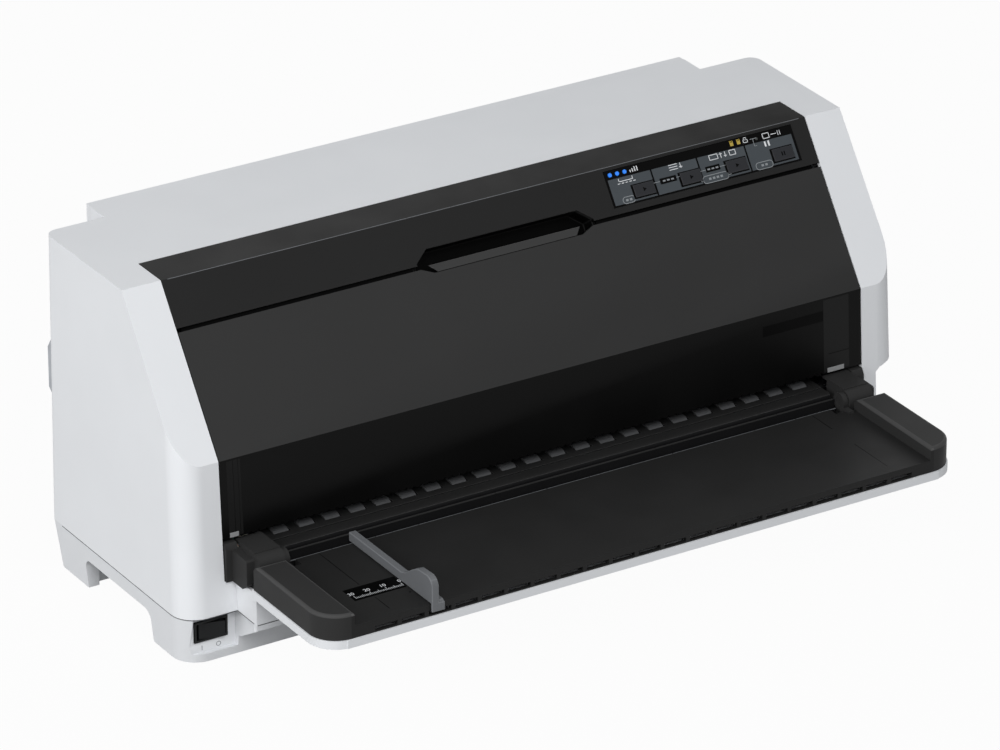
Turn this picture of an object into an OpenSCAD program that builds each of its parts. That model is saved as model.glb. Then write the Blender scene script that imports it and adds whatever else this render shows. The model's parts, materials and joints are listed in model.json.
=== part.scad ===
// Flatbed dot matrix printer: two case shells, a bent front band with its
// controls, a tilting front cover, a front paper tray, a print carriage on a
// shaft and rail, a geared paper feed and a push tractor behind.
// X runs to the right, -Y towards the user and Z up. The origin is on the
// table, at the middle of the whole machine's plan.

/* [Case] */
// Width of the case at the seam between its two shells
case_w = 480; // [474:1:490]
// Height of the case above the table
case_h = 208; // [206:1:212]
// Height of the seam between the lower and upper shells
seam_z = 31; // [30:0.5:32]
// Rear face of the case
case_rear_y = 75; // [75:1:76]
// Wall thickness of both shells
wall = 3; // [2.5:0.5:3.5]
// Radius of the two upright front corners
front_corner_r = 15; // [12:1:18]
// Radius of the two upright rear corners
rear_corner_r = 7; // [5:1:9]
// Draft of the side walls, as a slope
side_draft = 0.013; // [0.005:0.001:0.015]

/* [Front] */
// Front edge of the flat top, where the slope starts
fold_y = -15; // [-17:1:-13]
// Foot of the slope, front to back
bend_y = -76.2; // [-77:0.1:-76]
// Foot of the slope, height
bend_z = 122.3; // [121:0.1:124]
// Forward lean of the face below the slope
face_lean = 0.058; // [0.05:0.001:0.06]
// Half width of the opening that holds the band and the cover
opening_hw = 213.3; // [213:0.1:214]
// Rear edge of the dark band on the flat top
band_rear_y = 11; // [8:1:14]
// Distance down the slope from the fold to the cover's top edge
band_drop = 28.6; // [28:0.1:30]
// Sheet thickness of the cover
cover_t = 2.6; // [2:0.1:3]
// Height of the cover's tear-off edge
cover_low_z = 75; // [75:0.5:76]

/* [Tray] */
// Half width of the front paper tray
tray_hw = 209; // [206:0.5:210]
// Front edge of the tray's dark plate
tray_front_y = -183; // [-183:0.5:-180]
// Height of the tray's side arms
arm_top_z = 70.5; // [69:0.5:71]
// Height of the tray's paper surface
plate_top_z = 62.5; // [62:0.5:63]
// Height of the joint between the dark tray and its pale lower shell
tray_joint_z = 55; // [54:0.5:56]
// Underside of the tray
tray_low_z = 50; // [49:0.5:51]

/* [Paper feed] */
// Radius of the feed rollers
roller_r = 7.5; // [7:0.1:7.5]
// Height of both feed roller shafts
roller_z = 61.5; // [61:0.5:62]
// Front feed roller shaft, front to back
front_roller_y = -70; // [-70:1:-70]
// Teeth of the small gears on the feed shafts and the motor
small_teeth = 16; // [16:1:16]
// Teeth of the large idler gear between the feed shafts
idler_teeth = 66; // [66:2:66]
// Backlash of the feed gears at the pitch circle
backlash = 0.35; // [0.25:0.05:0.5]

/* [Carriage] */
// Radius of the round carriage shaft
carriage_shaft_r = 6; // [5:0.5:6]
// Width of the carriage
carriage_w = 64; // [56:2:64]

/* [Tractor] */
// Rear end of the tractor unit
tractor_rear_y = 185; // [182:1:190]
// Middle of each tractor from the machine's centre line
tractor_x = 120; // [110:1:125]

/* [Hidden] */
$fn = 48;
e = 0.01;
gap = 0.4;                      // clearance between fitted mouldings
run = 0.05;                     // radial clearance of a turning fit
slope_a = atan2(case_h - bend_z, fold_y - bend_y);
foot_z = 1;                     // underside of the lower shell
floor_z = 21;                   // underside of the raised floor
floor_t = 3;
base_taper = 0.108;             // inward slope of the lower shell
base_front_taper = 0.177;
sill_z = 50;                    // top of the chin under the tray
chin_hw = 206;
chin_y = -103;
cover_axis = [-74, 91];         // cover hinge [y, z]
cover_pin_r = 2.5;
tray_axis = [-98, 66];          // tray hinge [y, z]
tray_pin_r = 2.5;
rear_roller_y = front_roller_y + gear_r(small_teeth) * 2 + gear_r(idler_teeth) * 2;
idler_y = (front_roller_y + rear_roller_y) / 2;
pinion_steps = 7;               // idler teeth from the rear mesh to the pinion mesh
pinion_a = -360 / idler_teeth * pinion_steps;
pinion_d = gear_r(small_teeth) + gear_r(idler_teeth);
pinion_at = [idler_y + pinion_d * cos(pinion_a), roller_z + pinion_d * sin(pinion_a)];
gear_x = -198;                  // outer face of the gear train
gear_w = 6;
pinch_r = 4.5;
pinch_z = roller_z + roller_r + pinch_r + 0.3;
feed_shaft_r = 4;
frame_x = 200;                  // inner face of the side frames
frame_t = 1.5;
carriage_y = 4;                 // carriage shaft, front to back
carriage_z = 100;
belt_y = 42;                    // carriage belt pulleys
belt_z = 89;
belt_w = 6;
pulley_r = 7;
motor_x = 180;
belt_idler_x = -185;
tractor_at = [118, 74];         // tractor drive shaft [y, z]
tractor_rod = [150, 72];        // tractor support rod [y, z]
tractor_pulley_r = 7;
tractor_belt_x = -189.5;
tractor_hinge = [11, 88.7];     // flap hinge: outward of the tractor's middle, height
label_x = [73.6, 202.4];        // control label, left and right
label_s = [2.2, 24.4];          // control label, down the slope
button_x = [96, 127.9, 159.3, 191.2];
button_s = 17.8;
button_size = [14, 7.5];
led_x = [77.5, 82.4, 87.4];
led_s = 5.2;
pilot_at = [[77.9, 9.6], [177.5, 5.6], [177.9, 10.4]];
cup_hw = 58.5;                  // finger recess, half width at its mouth
cup_s = 19.8;                   // upper edge of the finger recess
switch_x = [-229.8, -208.7];
switch_z = [13.2, 25.8];
switch_y = -74;                 // back of the switch pocket

// ---- helpers ----

// Half width of the case at height z
function half_w(z) = case_w / 2 - side_draft * (z - seam_z);
// Front face of the upper case below the slope, at height z
function face_y(z) = bend_y - face_lean * (bend_z - z);
// Point [y, z] on the slope, s down from the fold and h out from the surface
function slope_pt(s, h = 0) =
  [fold_y - s * cos(slope_a) - h * sin(slope_a), case_h - s * sin(slope_a) + h * cos(slope_a)];
// Where the slope and the face meet once both are moved inwards by t
function bend_in(t) =
  let (z = bend_z - t * (cos(slope_a) - 1 + sin(slope_a)) / sin(slope_a) * 0.45)
  [face_y(z) + t, case_h + (face_y(z) + t - fold_y) * tan(slope_a) - t / cos(slope_a)];
// Pitch radius of a feed gear, module 1
function gear_r(teeth) = teeth / 2;
// Point on an involute of base radius rb, unrolled by a degrees and turned by turn
function involute(rb, a, turn) =
  let (l = a * PI / 180)
  [rb * (cos(a + turn) + l * sin(a + turn)), rb * (sin(a + turn) - l * cos(a + turn))];

// Draws a [y, z] outline along X, over the width w centred on x
module along_x(w, x = 0)
  translate([x, 0, 0]) rotate([90, 0, 90]) linear_extrude(w, center = true) children();
// Round bar along X at [y, z]
module rod(r, w, at, x = 0)
  translate([x, at[0], at[1]]) rotate([0, 90, 0]) cylinder(r = r, h = w, center = true);
// Box between two opposite corners
module block(a, b) translate(a) cube(b - a);
module both_sides() {
  children();
  mirror([1, 0, 0]) children();
}
// Local frame on the slope: x across, y up the slope, z out of the surface
module on_slope(x = 0, s = 0, h = 0)
  translate([0, fold_y, case_h]) rotate([slope_a, 0, 0]) translate([x, -s, h]) children();
// Rounded rectangle from corner a to corner b, with its own radius front and back
module plan(a, b, rf, rb) {
  translate([a[0] + rf, a[1]]) square([b[0] - a[0] - 2 * rf, b[1] - a[1]]);
  translate([a[0], a[1] + rf]) square([b[0] - a[0], b[1] - a[1] - rf - rb]);
  translate([a[0] + rb, b[1] - rb]) square([b[0] - a[0] - 2 * rb, rb]);
  for (x = [a[0] + rf, b[0] - rf]) translate([x, a[1] + rf]) circle(rf);
  for (x = [a[0] + rb, b[0] - rb]) translate([x, b[1] - rb]) circle(rb);
}
// Closed belt of thickness t and width w round two pulleys at a and b, in the XY plane
module belt_loop(a, b, r, t, w) linear_extrude(w) difference() {
  polygon(loop_points(a, b, r + t));
  polygon(loop_points(a, b, r));
}
// Points of a loop at radius q round a and b
function loop_points(a, b, q) =
  let (turn = atan2(b[1] - a[1], b[0] - a[0]), steps = [for (i = [0 : 24]) i * 7.5 - 90])
  concat([for (g = steps) b + q * [cos(turn + g), sin(turn + g)]],
    [for (g = steps) a - q * [cos(turn + g), sin(turn + g)]]);
// Spur gear outline, module 1 and 20 degree teeth, with a tooth centred at 0 degrees
module gear_outline(teeth) {
  rp = gear_r(teeth);
  rb = rp * cos(20);
  ra = rp + 0.95;
  rr = rp - 1.2;
  half = 90 / teeth - backlash / 4 / rp * 180 / PI;
  a_p = tan(20) * 180 / PI;
  a_a = sqrt(pow(ra / rb, 2) - 1) * 180 / PI;
  lean = a_p - 20;
  flank = [for (i = [0 : 3]) involute(rb, a_a * i / 3, 0)];
  union() {
    circle(r = rr, $fn = 2 * teeth);
    for (k = [0 : teeth - 1]) rotate(k * 360 / teeth) polygon(concat(
      [[rr - 0.5, -rr * sin(half + lean) * 0.98]],
      [for (p = flank) rot2(p, -half - lean)],
      [for (i = [3 : -1 : 0]) let (p = flank[i]) rot2([p[0], -p[1]], half + lean)],
      [[rr - 0.5, rr * sin(half + lean) * 0.98]]));
  }
}
function rot2(p, a) = [p[0] * cos(a) - p[1] * sin(a), p[0] * sin(a) + p[1] * cos(a)];
// Gear on an axis along X, starting at x, turned so that a tooth centre is at angle turn
module gear(teeth, at, turn, bore) translate([gear_x, at[0], at[1]])
  rotate([90, 0, 90]) rotate(turn) linear_extrude(gear_w) difference() {
    gear_outline(teeth);
    circle(bore);
  }

// ---- case ----

// Solid form of the upper case, moved inwards by t, from z0 to z1
module case_form(z0, z1, t) intersection() {
  hull() for (z = [z0, z1 - e], side = [-1, 1]) {
    translate([side * (half_w(z) - front_corner_r), face_y(z) + front_corner_r, z])
      cylinder(r = front_corner_r - t, h = e, $fn = 32);
    translate([side * (half_w(z) - rear_corner_r), case_rear_y - rear_corner_r, z])
      cylinder(r = rear_corner_r - t, h = e, $fn = 32);
  }
  along_x(2 * case_w) polygon([[-120, 0], [120, 0], [120, case_h - t],
    [fold_y + t * tan(slope_a / 2), case_h - t],
    [-120, case_h - (fold_y + 120) * tan(slope_a) - t / cos(slope_a)]]);
}

hood_y = 96.7;                  // rear face of the paper hood
hood_hw = 199.6;
hood_low_z = 150;
rear_slot = [[-193, 60, 56], [193, 120, 82]];
inlet_box = [[205, 60, 46], [232, 90, 67]];
ports_box = [[-226, 60, 50], [-198, 90, 138]];
recess_x = 223;                 // side wall inside the step at the right front corner
recess_z = 71;

module upper_case() color("#e3e5e8") difference() {
  union() {
    difference() {
      case_form(seam_z, case_h, 0);
      case_form(seam_z - 1, case_h, wall);
    }
    // cheeks beside the cover
    intersection() {
      case_form(seam_z, case_h, 0);
      both_sides() block([opening_hw, -100, seam_z], [opening_hw + wall, -46, case_h]);
    }
    // solid backing of the step in the right front corner
    intersection() {
      case_form(seam_z, case_h, 0);
      block([recess_x - wall, -100, seam_z], [case_w, -17, recess_z + 12]);
    }
    difference() {
      block([-chin_hw, chin_y, seam_z], [chin_hw, face_y(seam_z) + 1, sill_z]);
      block([-chin_hw + wall, chin_y + wall, seam_z - 1],
        [chin_hw - wall, -60, sill_z - wall]);
    }
    difference() {
      translate([0, 0, hood_low_z]) linear_extrude(case_h - hood_low_z)
        plan([-hood_hw, case_rear_y - 1], [hood_hw, hood_y], 0.5, 6);
      translate([0, 0, hood_low_z - 1]) linear_extrude(case_h - hood_low_z - wall + 1)
        plan([-hood_hw + wall, case_rear_y - 2], [hood_hw - wall, hood_y - wall], 0.5, 3);
    }
  }
  block([-opening_hw, -120, sill_z], [opening_hw, band_rear_y, case_h + 1]);
  block([-chin_hw + wall, chin_y + wall, seam_z - 1], [chin_hw - wall, -60, sill_z - wall]);
  block([-hood_hw + wall, 60, hood_low_z], [hood_hw - wall, case_rear_y + 1, case_h - wall]);
  block(rear_slot[0], rear_slot[1]);
  block(inlet_box[0], inlet_box[1]);
  block(ports_box[0], ports_box[1]);
  both_sides() rod(cover_pin_r + run, 12, cover_axis, opening_hw + 3);
  // step in the right front corner, under a nearly level shoulder
  translate([0, -20, 0]) rotate([90, 0, 0]) linear_extrude(80) polygon([
    [recess_x, seam_z + wall], [260, seam_z + wall], [260, recess_z + 1.5], [recess_x + 7, recess_z],
    [recess_x + 2.6, recess_z - 1], [recess_x, recess_z - 3.4]]);
  for (p = screw_at) translate([p[0], 70, p[1]]) rotate([-90, 0, 0]) cylinder(r = 2, h = 12);
}

foot_at = [[-211, -56], [211, -56], [-211, 55], [211, 55]];

// Solid form of the lower shell, moved inwards by t, from z0 to z1
module base_form(z0, z1, t) hull() for (z = [z0, z1 - e], side = [-1, 1])
  let (hw = case_w / 2 - base_taper * (seam_z - z)) {
    translate([side * (hw - front_corner_r),
        face_y(seam_z) + base_front_taper * (seam_z - z) + front_corner_r, z])
      cylinder(r = front_corner_r - t, h = e, $fn = 32);
    translate([side * (hw - rear_corner_r),
        case_rear_y - base_taper * (seam_z - z) - rear_corner_r, z])
      cylinder(r = rear_corner_r - t, h = e, $fn = 32);
  }

module lower_case() color("#dfe1e4") difference() {
  union() {
    difference() {
      base_form(foot_z, seam_z, 0);
      base_form(floor_z + floor_t, seam_z + 1, wall);
      difference() {
        block([-230, -70, -1], [230, 64, floor_z]);
        for (p = foot_at) block([p[0] - 21, p[1] - 15, -1], [p[0] + 21, p[1] + 15, floor_z]);
      }
    }
    // chin under the tray
    along_x(2 * chin_hw) polygon([[chin_y, seam_z], [chin_y, 27], [-80, 13], [-76, 13],
      [-76, 16.5], [-79.5, 16.5], [chin_y + 3, 29], [chin_y + 3, seam_z]]);
    both_sides() along_x(3, chin_hw - 1.5)
      polygon([[chin_y, seam_z], [chin_y, 27], [-80, 13], [-76, 13], [-76, seam_z]]);
    // backing of the switch pocket
    intersection() {
      base_form(foot_z, seam_z, 0);
      block([-245, -90, 3], [switch_x[1] + 9, switch_y + 2, seam_z]);
    }
  }
  // finger cut-outs in both sides
  along_x(2 * case_w) {
    translate([-40, -1]) square([76, 15]);
    translate([-34, -1]) square([64, 21.5]);
    for (y = [-34, 30]) translate([y, 14.5]) circle(6);
  }
  block([switch_x[0] - 3.2, -100, 6.4], [switch_x[1] + 5, switch_y, seam_z + 1]);
  block([switch_x[0] - gap, -90, switch_z[0] - gap], [switch_x[1] + gap, -60, switch_z[1] + gap]);
  for (p = foot_at) translate([p[0], p[1], -1]) cylinder(r = 10 + gap, h = 4);
}

screw_at = [[-226, 40], [226, 90], [-226, 160], [226, 160]];

module case_screws() color("#b9bcc0") for (p = screw_at)
  translate([p[0], case_rear_y, p[1]]) rotate([-90, 0, 0]) difference() {
    union() {
      cylinder(r = 3.6, h = 2);
      translate([0, 0, -8]) cylinder(r = 1.9, h = 8 + e);
    }
    translate([0, 0, 1]) linear_extrude(2) {
      square([4, 0.9], center = true);
      square([0.9, 4], center = true);
    }
  }

module rubber_feet() color("#2b2b2b") for (p = foot_at)
  translate([p[0], p[1], 0]) cylinder(r = 10, h = 3);

// ---- front band and controls ----

band_t = 3;
band_hw = opening_hw - gap;

ledge_x = [61, 209];            // ledge behind the joint between band and cover
module cup_outline(grow = 0) polygon([[-50 - grow, -cup_s + grow], [50 + grow, -cup_s + grow],
  [cup_hw + grow, -cup_s - 7], [cup_hw + grow, -60], [-cup_hw - grow, -60],
  [-cup_hw - grow, -cup_s - 7]]);

module front_band() color("#252525") {
  difference() {
    union() {
      along_x(2 * band_hw) polygon([[band_rear_y - gap, case_h], [fold_y, case_h],
        slope_pt(band_drop - gap), slope_pt(band_drop - gap, -band_t),
        [fold_y + band_t * tan(slope_a / 2), case_h - band_t],
        [band_rear_y - gap, case_h - band_t]]);
      both_sides() on_slope(ledge_x[0], 34, -5.5) cube([ledge_x[1] - ledge_x[0], 8, 2.6]);
    }
    on_slope(0, 0, -13) linear_extrude(20) cup_outline();
    on_slope(label_x[0], label_s[1], -0.6)
      cube([label_x[1] - label_x[0], label_s[1] - label_s[0], 2]);
    control_holes(0.25);
  }
}

// Cup behind the cover's upper edge, open towards its foot
module finger_cup() color("#202022") difference() {
  intersection() {
    on_slope(0, 0, -15) linear_extrude(15 - band_t) cup_outline(2);
    on_slope(-70, 48, -20) cube([140, 60, 40]);
  }
  on_slope(0, 0, -13) linear_extrude(20) cup_outline();
}

// Openings for the four buttons and the six lamps
module control_holes(clear) {
  for (x = button_x) on_slope(x, button_s, -10) linear_extrude(20)
    square([button_size[0] + 2 * clear, button_size[1] + 2 * clear], center = true);
  for (x = led_x) on_slope(x, led_s, -10) cylinder(r = 1.5, h = 20, $fn = 24);
  for (p = pilot_at) on_slope(p[0], p[1], -10) cylinder(r = 1.1, h = 20, $fn = 24);
}

module control_label() color("#50565a") difference() {
  on_slope(label_x[0] + 0.1, label_s[1] - 0.1, -0.6)
    cube([label_x[1] - label_x[0] - 0.2, label_s[1] - label_s[0] - 0.2, 0.8]);
  control_holes(0.25);
}

module control_board() color("#2c5a3c") {
  on_slope(label_x[0], label_s[1] + 1, -9.6)
    cube([label_x[1] - label_x[0], label_s[1] - label_s[0] + 1, 1.6]);
  for (x = button_x) on_slope(x, button_s, -8) {
    translate([-3, -3, 0]) cube([6, 6, 0.8]);
    cylinder(r = 1.6, h = 1.6);
  }
  for (x = [112, 143.6, 172.5]) on_slope(x, 12, -8.2) cylinder(r = 2.5, h = 5.2);
}

module status_leds() color("#2f7fe0") {
  for (x = led_x) on_slope(x, led_s, -8) cylinder(r = 1.2, h = 8.3, $fn = 24);
  for (p = pilot_at) on_slope(p[0], p[1], -8) cylinder(r = 0.85, h = 8.2, $fn = 24);
}

module push_button(x) color("#3a3c3f") on_slope(x, button_s, 0) {
  linear_extrude(1) square(button_size, center = true);
  translate([0, 0, -3.6]) linear_extrude(3.7) square(button_size, center = true);
  translate([0, 0, -5]) linear_extrude(1.6)
    square([button_size[0] + 3, button_size[1] + 2.4], center = true);
}
module tear_off_button() push_button(button_x[0]);
module line_feed_button() push_button(button_x[1]);
module load_button() push_button(button_x[2]);
module pause_button() push_button(button_x[3]);

rocker_at = [(switch_x[0] + switch_x[1]) / 2, -69];
module switch_body() color("#1d1d1f") difference() {
  block([switch_x[0], switch_y - 1, switch_z[0]], [switch_x[1], -60, switch_z[1]]);
  block([switch_x[0] + 1.2, switch_y - 2, switch_z[0] + 1.2],
    [switch_x[1] - 1.2, -66, switch_z[1] - 1.2]);
  translate([rocker_at[0], rocker_at[1], 0]) cylinder(r = 1.5 + run, h = 40);
}

module power_rocker() color("#232427") translate([rocker_at[0], rocker_at[1], switch_z[0]]) {
  translate([0, 0, 0.4]) cylinder(r = 1.5, h = switch_z[1] - switch_z[0] - 0.8);
  translate([0, 0, 1.6]) linear_extrude(switch_z[1] - switch_z[0] - 3.2)
    polygon([[-8, 1.5], [-7.6, -5.2], [1, -6.6], [7.4, -8.6], [7.4, -1], [3, 1.5]]);
}

// ---- cover ----

cover_hw = opening_hw - 0.5;
lip_s = band_drop + 2;

module front_cover() color("#383838", 0.85) {
  difference() {
    along_x(2 * cover_hw) polygon([slope_pt(lip_s), [bend_y, bend_z],
      [face_y(cover_low_z), cover_low_z], [face_y(cover_low_z) + cover_t, cover_low_z],
      bend_in(cover_t), slope_pt(lip_s, -cover_t)]);
    // tear-off teeth along the lower edge
    for (x = [-195 : 5 : 195]) translate([x, 0, cover_low_z]) rotate([90, 45, 0])
      cube([1.6, 1.6, 200], center = true);
    on_slope(0, 0, -10) linear_extrude(20) polygon([[-57, -lip_s + 5], [57, -lip_s + 5],
      [57, -lip_s], [49, -lip_s - 3.6], [-49, -lip_s - 3.6], [-57, -lip_s]]);
  }
  // grip lip under the notch
  on_slope(0, 0, -7) linear_extrude(7) polygon([[-49, -lip_s - 3.6], [49, -lip_s - 3.6],
    [49, -lip_s - 5.6], [-49, -lip_s - 5.6]]);
  // end walls with their hinge pins
  both_sides() {
    along_x(3, cover_hw - 1.5) polygon([slope_pt(lip_s), [bend_y, bend_z],
      [face_y(86), 86], [cover_axis[0] + 5, 86], [cover_axis[0] + 5, 100],
      bend_in(12), slope_pt(lip_s, -12)]);
    rod(cover_pin_r, 6, cover_axis, cover_hw + 1);
  }
}

// ---- tray ----

tray_r = 17;
arm_w = 19;
tray_back_y = -105;
plate_back_y = -98;
plate_t = 4;

module tray_plan(t) intersection() {
  plan([-tray_hw + t, tray_front_y + t], [tray_hw - t, tray_back_y - t], tray_r - t, 1);
  translate([-300, tray_front_y - 10]) square([600, 120]);
}

module paper_tray() color("#2f2f2f") difference() {
  union() {
    translate([0, 0, tray_joint_z]) linear_extrude(arm_top_z - tray_joint_z) intersection() {
      tray_plan(0);
      both_sides() translate([tray_hw - arm_w, -200]) square([arm_w, 100]);
    }
    translate([0, 0, plate_top_z - plate_t]) linear_extrude(plate_t)
      translate([-tray_hw + 5, tray_front_y]) square([2 * tray_hw - 10, 78]);
    block([-178, tray_back_y - 1, plate_top_z - plate_t], [178, plate_back_y, plate_top_z]);
    block([-tray_hw + 12, tray_front_y, tray_joint_z],
      [tray_hw - 12, tray_front_y + 2.4, plate_top_z]);
    both_sides() {
      rod(5.4, 3, tray_axis, 185.8);
      block([184.3, tray_back_y - 4, plate_top_z - plate_t], [187.3, tray_axis[0] - 2, 64]);
    }
  }
  both_sides() {
    rod(tray_pin_r + run, 20, tray_axis, 186);
    // slanted rear end of the arm
    along_x(arm_w + 2, tray_hw - arm_w / 2) polygon([[tray_back_y - 4, arm_top_z + 1],
      [tray_back_y - 4, arm_top_z], [tray_back_y, arm_top_z - 4], [tray_back_y + 9, arm_top_z - 4],
      [tray_back_y + 9, arm_top_z + 1]]);
    // hollow under the arm
    translate([0, 0, tray_joint_z - 1]) linear_extrude(arm_top_z - tray_joint_z - 1.5)
      intersection() {
        tray_plan(2.6);
        translate([tray_hw - arm_w + 2.4, -200]) square([arm_w, 92]);
      }
  }
  // corners outside the rounded plan
  translate([0, 0, plate_top_z - plate_t - 6]) linear_extrude(plate_t + 7) difference() {
    translate([-220, tray_front_y - 1]) square([440, 18]);
    tray_plan(0);
  }
  // slots under the front edge
  for (x = [-170 : 17 : 187]) if (abs(x) < 184)
    block([x - 7.2, tray_front_y - 1, tray_joint_z + 0.8],
      [x + 7.2, tray_front_y + 4, plate_top_z - plate_t]);
}

lip_out = 0.8;                  // overhang of the pale shell round the dark tray
module tray_shell() color("#dde0e2") difference() {
  union() {
    translate([0, 0, tray_low_z]) linear_extrude(tray_joint_z - tray_low_z) tray_plan(-lip_out);
    block([-tray_hw + 14, tray_front_y - 1, tray_low_z], [tray_hw - 14, -170, tray_joint_z]);
  }
  translate([0, 0, tray_low_z + 2]) linear_extrude(10) tray_plan(2.4);
}

scale_box = [[-175.3, -158.4], [-142.7, -144.8]];
module tray_scale() color("#141414")
  block([scale_box[0][0], scale_box[0][1], plate_top_z],
    [scale_box[1][0], scale_box[1][1], plate_top_z + 0.3]);

guide_x = -138;                 // edge guide at rest
module edge_guide() color("#6a6b6d") {
  foot = plate_top_z + 0.4;
  front = tray_front_y - 2;
  along_x(4.4, guide_x - 2) polygon([[front, foot - 5], [front, 73.8], [front + 1.6, 77],
    [front + 5, 78.6], [front + 16, 78], [front + 22, 74.8], [front + 29, 69.8],
    [front + 33, 68.4], [-95.2, 68.4], [-95.2, foot], [tray_front_y - gap, foot],
    [tray_front_y - gap, foot - 5]]);
  block([guide_x - 4.2, front, foot - 5], [guide_x + 4, tray_front_y - gap, foot + 0.2]);
  block([guide_x - 4.2, tray_front_y - gap - e, foot], [guide_x + 4, front + 26, foot + 1.2]);
}

bracket_x = [187.6, 204];
module tray_bracket() {
  w = bracket_x[1] - bracket_x[0];
  middle = (bracket_x[0] + bracket_x[1]) / 2;
  // hinge block, carried back over the feed gear by a thin hood
  along_x(w, middle) polygon([[-80.5, sill_z], [-80.5, 71.5], [-75, 71.5], [-75, 72.2], [-77, 73],
    [-98, 73], [-98, sill_z]]);
  rod(6.4, w, tray_axis, middle);
  rod(tray_pin_r, 5, tray_axis, bracket_x[0] - 0.5);
  // outer guard and the liner of the opening's end
  along_x(5.2, bracket_x[1] + 2.4) polygon([[-81, sill_z], [-81, 69.6], [-97, 69.2],
    [-98, 68.2], [-98, 54], [-93, sill_z]]);
  along_x(7.6, bracket_x[1] + 5) polygon([[-82, sill_z], [-82, 69.6], [-80, 73], [-50, 73],
    [-50, sill_z]]);
}
module tray_bracket_left() color("#2c2c2c") mirror([1, 0, 0]) tray_bracket();
module tray_bracket_right() color("#2c2c2c") tray_bracket();

// ---- frames and paper path ----

module side_frame() difference() {
  along_x(frame_t, frame_x + frame_t / 2) polygon([[-79, 52], [-79, 70.8], [-66, 70.8],
    [-58, 79], [-55.5, 92], [-52, 150], [60, 150], [66, 110], [66, floor_z + floor_t],
    [-55, floor_z + floor_t], [-60, 45], [-75, 48]]);
  for (p = [[front_roller_y, roller_z], [rear_roller_y, roller_z]]) rod(7, 10, p, frame_x);
  rod(carriage_shaft_r + run, 10, [carriage_y, carriage_z], frame_x);
  rod(2 + run, 10, [idler_y, roller_z], frame_x);
  rod(3 + run, 10, [rear_roller_y, pinch_z], frame_x);
}
module side_frame_right() color("#9fa3a8") side_frame();
module side_frame_left() color("#9fa3a8") difference() {
  mirror([1, 0, 0]) side_frame();
  rod(4, 10, pinion_at, -frame_x);
}

module shaft_bushes() color("#c9c4ae") for (y = [front_roller_y, rear_roller_y], side = [-1, 1])
  difference() {
    union() {
      rod(7 - run, frame_t, [y, roller_z], side * (frame_x + frame_t / 2));
      rod(8.5, 1.2, [y, roller_z], side * (frame_x + frame_t + 0.6));
    }
    rod(feed_shaft_r + run, 20, [y, roller_z], side * frame_x);
  }

pad_pitch = 16.5;
pad_w = 9.6;
module entry_guide() color("#2e2e2e") difference() {
  union() {
    along_x(367.6) polygon([[-94.2, 50], [-94.2, 66.2], [-93.2, 66.2], [-93.2, 56],
      [-90.6, 56], [-90.6, 65.4], [-89.8, 67.2], [-88, 68], [-82, 68], [-80.5, 66.5],
      [-80.5, 52], [-79, 50]]);
    // slotted plate over the front feed roller
    along_x(367.6) polygon([[-81, 66.9], [-81, 68], [-79.5, 68.2], [-62, 68.2], [-62, 67]]);
    both_sides() block([181.8, -81, 60], [183.8, -62, 67.2]);
  }
  for (i = [0 : 21]) let (x = (i - 10.5) * pad_pitch)
    block([x - pad_w / 2 - 0.5, -75.7, 66], [x + pad_w / 2 + 0.5, -64.3, 69]);
  both_sides() rod(feed_shaft_r + 0.6, 10, [front_roller_y, roller_z], 182.8);
}

platen_y = [-38, -22];
deck_hw = 183.5;
deck_z = 61;
// Paper surface in three strips: in front of the platen, behind it and behind the feed roller
module paper_deck() color("#3a3b3d") difference() {
  union() {
    block([-deck_hw, -61, deck_z], [deck_hw, 70, deck_z + 2]);
    // arms out to both side frames
    block([-frame_x, 32, deck_z], [1 - deck_hw, 54, deck_z + 2]);
    block([deck_hw - 1, 63, deck_z], [frame_x, 66, deck_z + 2]);
  }
  block([-190, platen_y[0], 60], [190, platen_y[1], 64]);
  block([-190, rear_roller_y - 8.6, 60], [190, rear_roller_y + 8.6, 64]);
  block([motor_x - 20, belt_y - 20, 60], [190, belt_y + 20, 64]);
}

module platen() color("#8c8f94") {
  difference() {
    block([-188, platen_y[0], 50], [frame_x, platen_y[1], 64.5]);
    block([-185, platen_y[0] + 2.5, 49], [185, platen_y[1] - 2.5, deck_z]);
  }
  // legs down to the floor of the base
  for (x = [-150, 66]) block([x - 5, platen_y[0], floor_z + floor_t], [x + 5, platen_y[1], 50.5]);
}

module roller(width, at, r, pitch, count) for (i = [0 : count - 1])
  rod(r, width, at, (i - (count - 1) / 2) * pitch);

module front_feed_roller() color("#77797c") {
  at = [front_roller_y, roller_z];
  rod(feed_shaft_r, 2 * (frame_x + 3), at);
  roller(pad_w, at, roller_r, pad_pitch, 22);
  // gap of a tooth faces the idler
  gear(small_teeth, at, 180 / small_teeth, feed_shaft_r - 1);
}

module rear_feed_roller() color("#77797c") {
  at = [rear_roller_y, roller_z];
  rod(feed_shaft_r, 2 * (frame_x + 3), at);
  roller(20, at, roller_r, 40, 9);
  rod(tractor_pulley_r, 6, at, tractor_belt_x + 2.5);
  gear(small_teeth, at, 180 + 180 / small_teeth, feed_shaft_r - 1);
}

module idler_gear() color("#e8e4d8") {
  at = [idler_y, roller_z];
  difference() {
    gear(idler_teeth, at, 0, 2.5);
    for (a = [30 : 60 : 330])
      rod(7, 20, [at[0] + 20 * cos(a), at[1] + 20 * sin(a)], gear_x + 3);
  }
  rod(2, 14, at, gear_x + 2);
  rod(2.6, gear_w, at, gear_x + gear_w / 2);
}

module motor_pinion() color("#c9b25a") {
  gear(small_teeth, pinion_at, pinion_a + 180 + 180 / small_teeth, 1.8);
  rod(2, 16, pinion_at, gear_x - 2);
}

module pinch_roller() color("#4a4b4d") {
  at = [rear_roller_y, pinch_z];
  rod(3, 2 * (frame_x + 2), at);
  roller(20, at, pinch_r, 40, 9);
}

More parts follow.
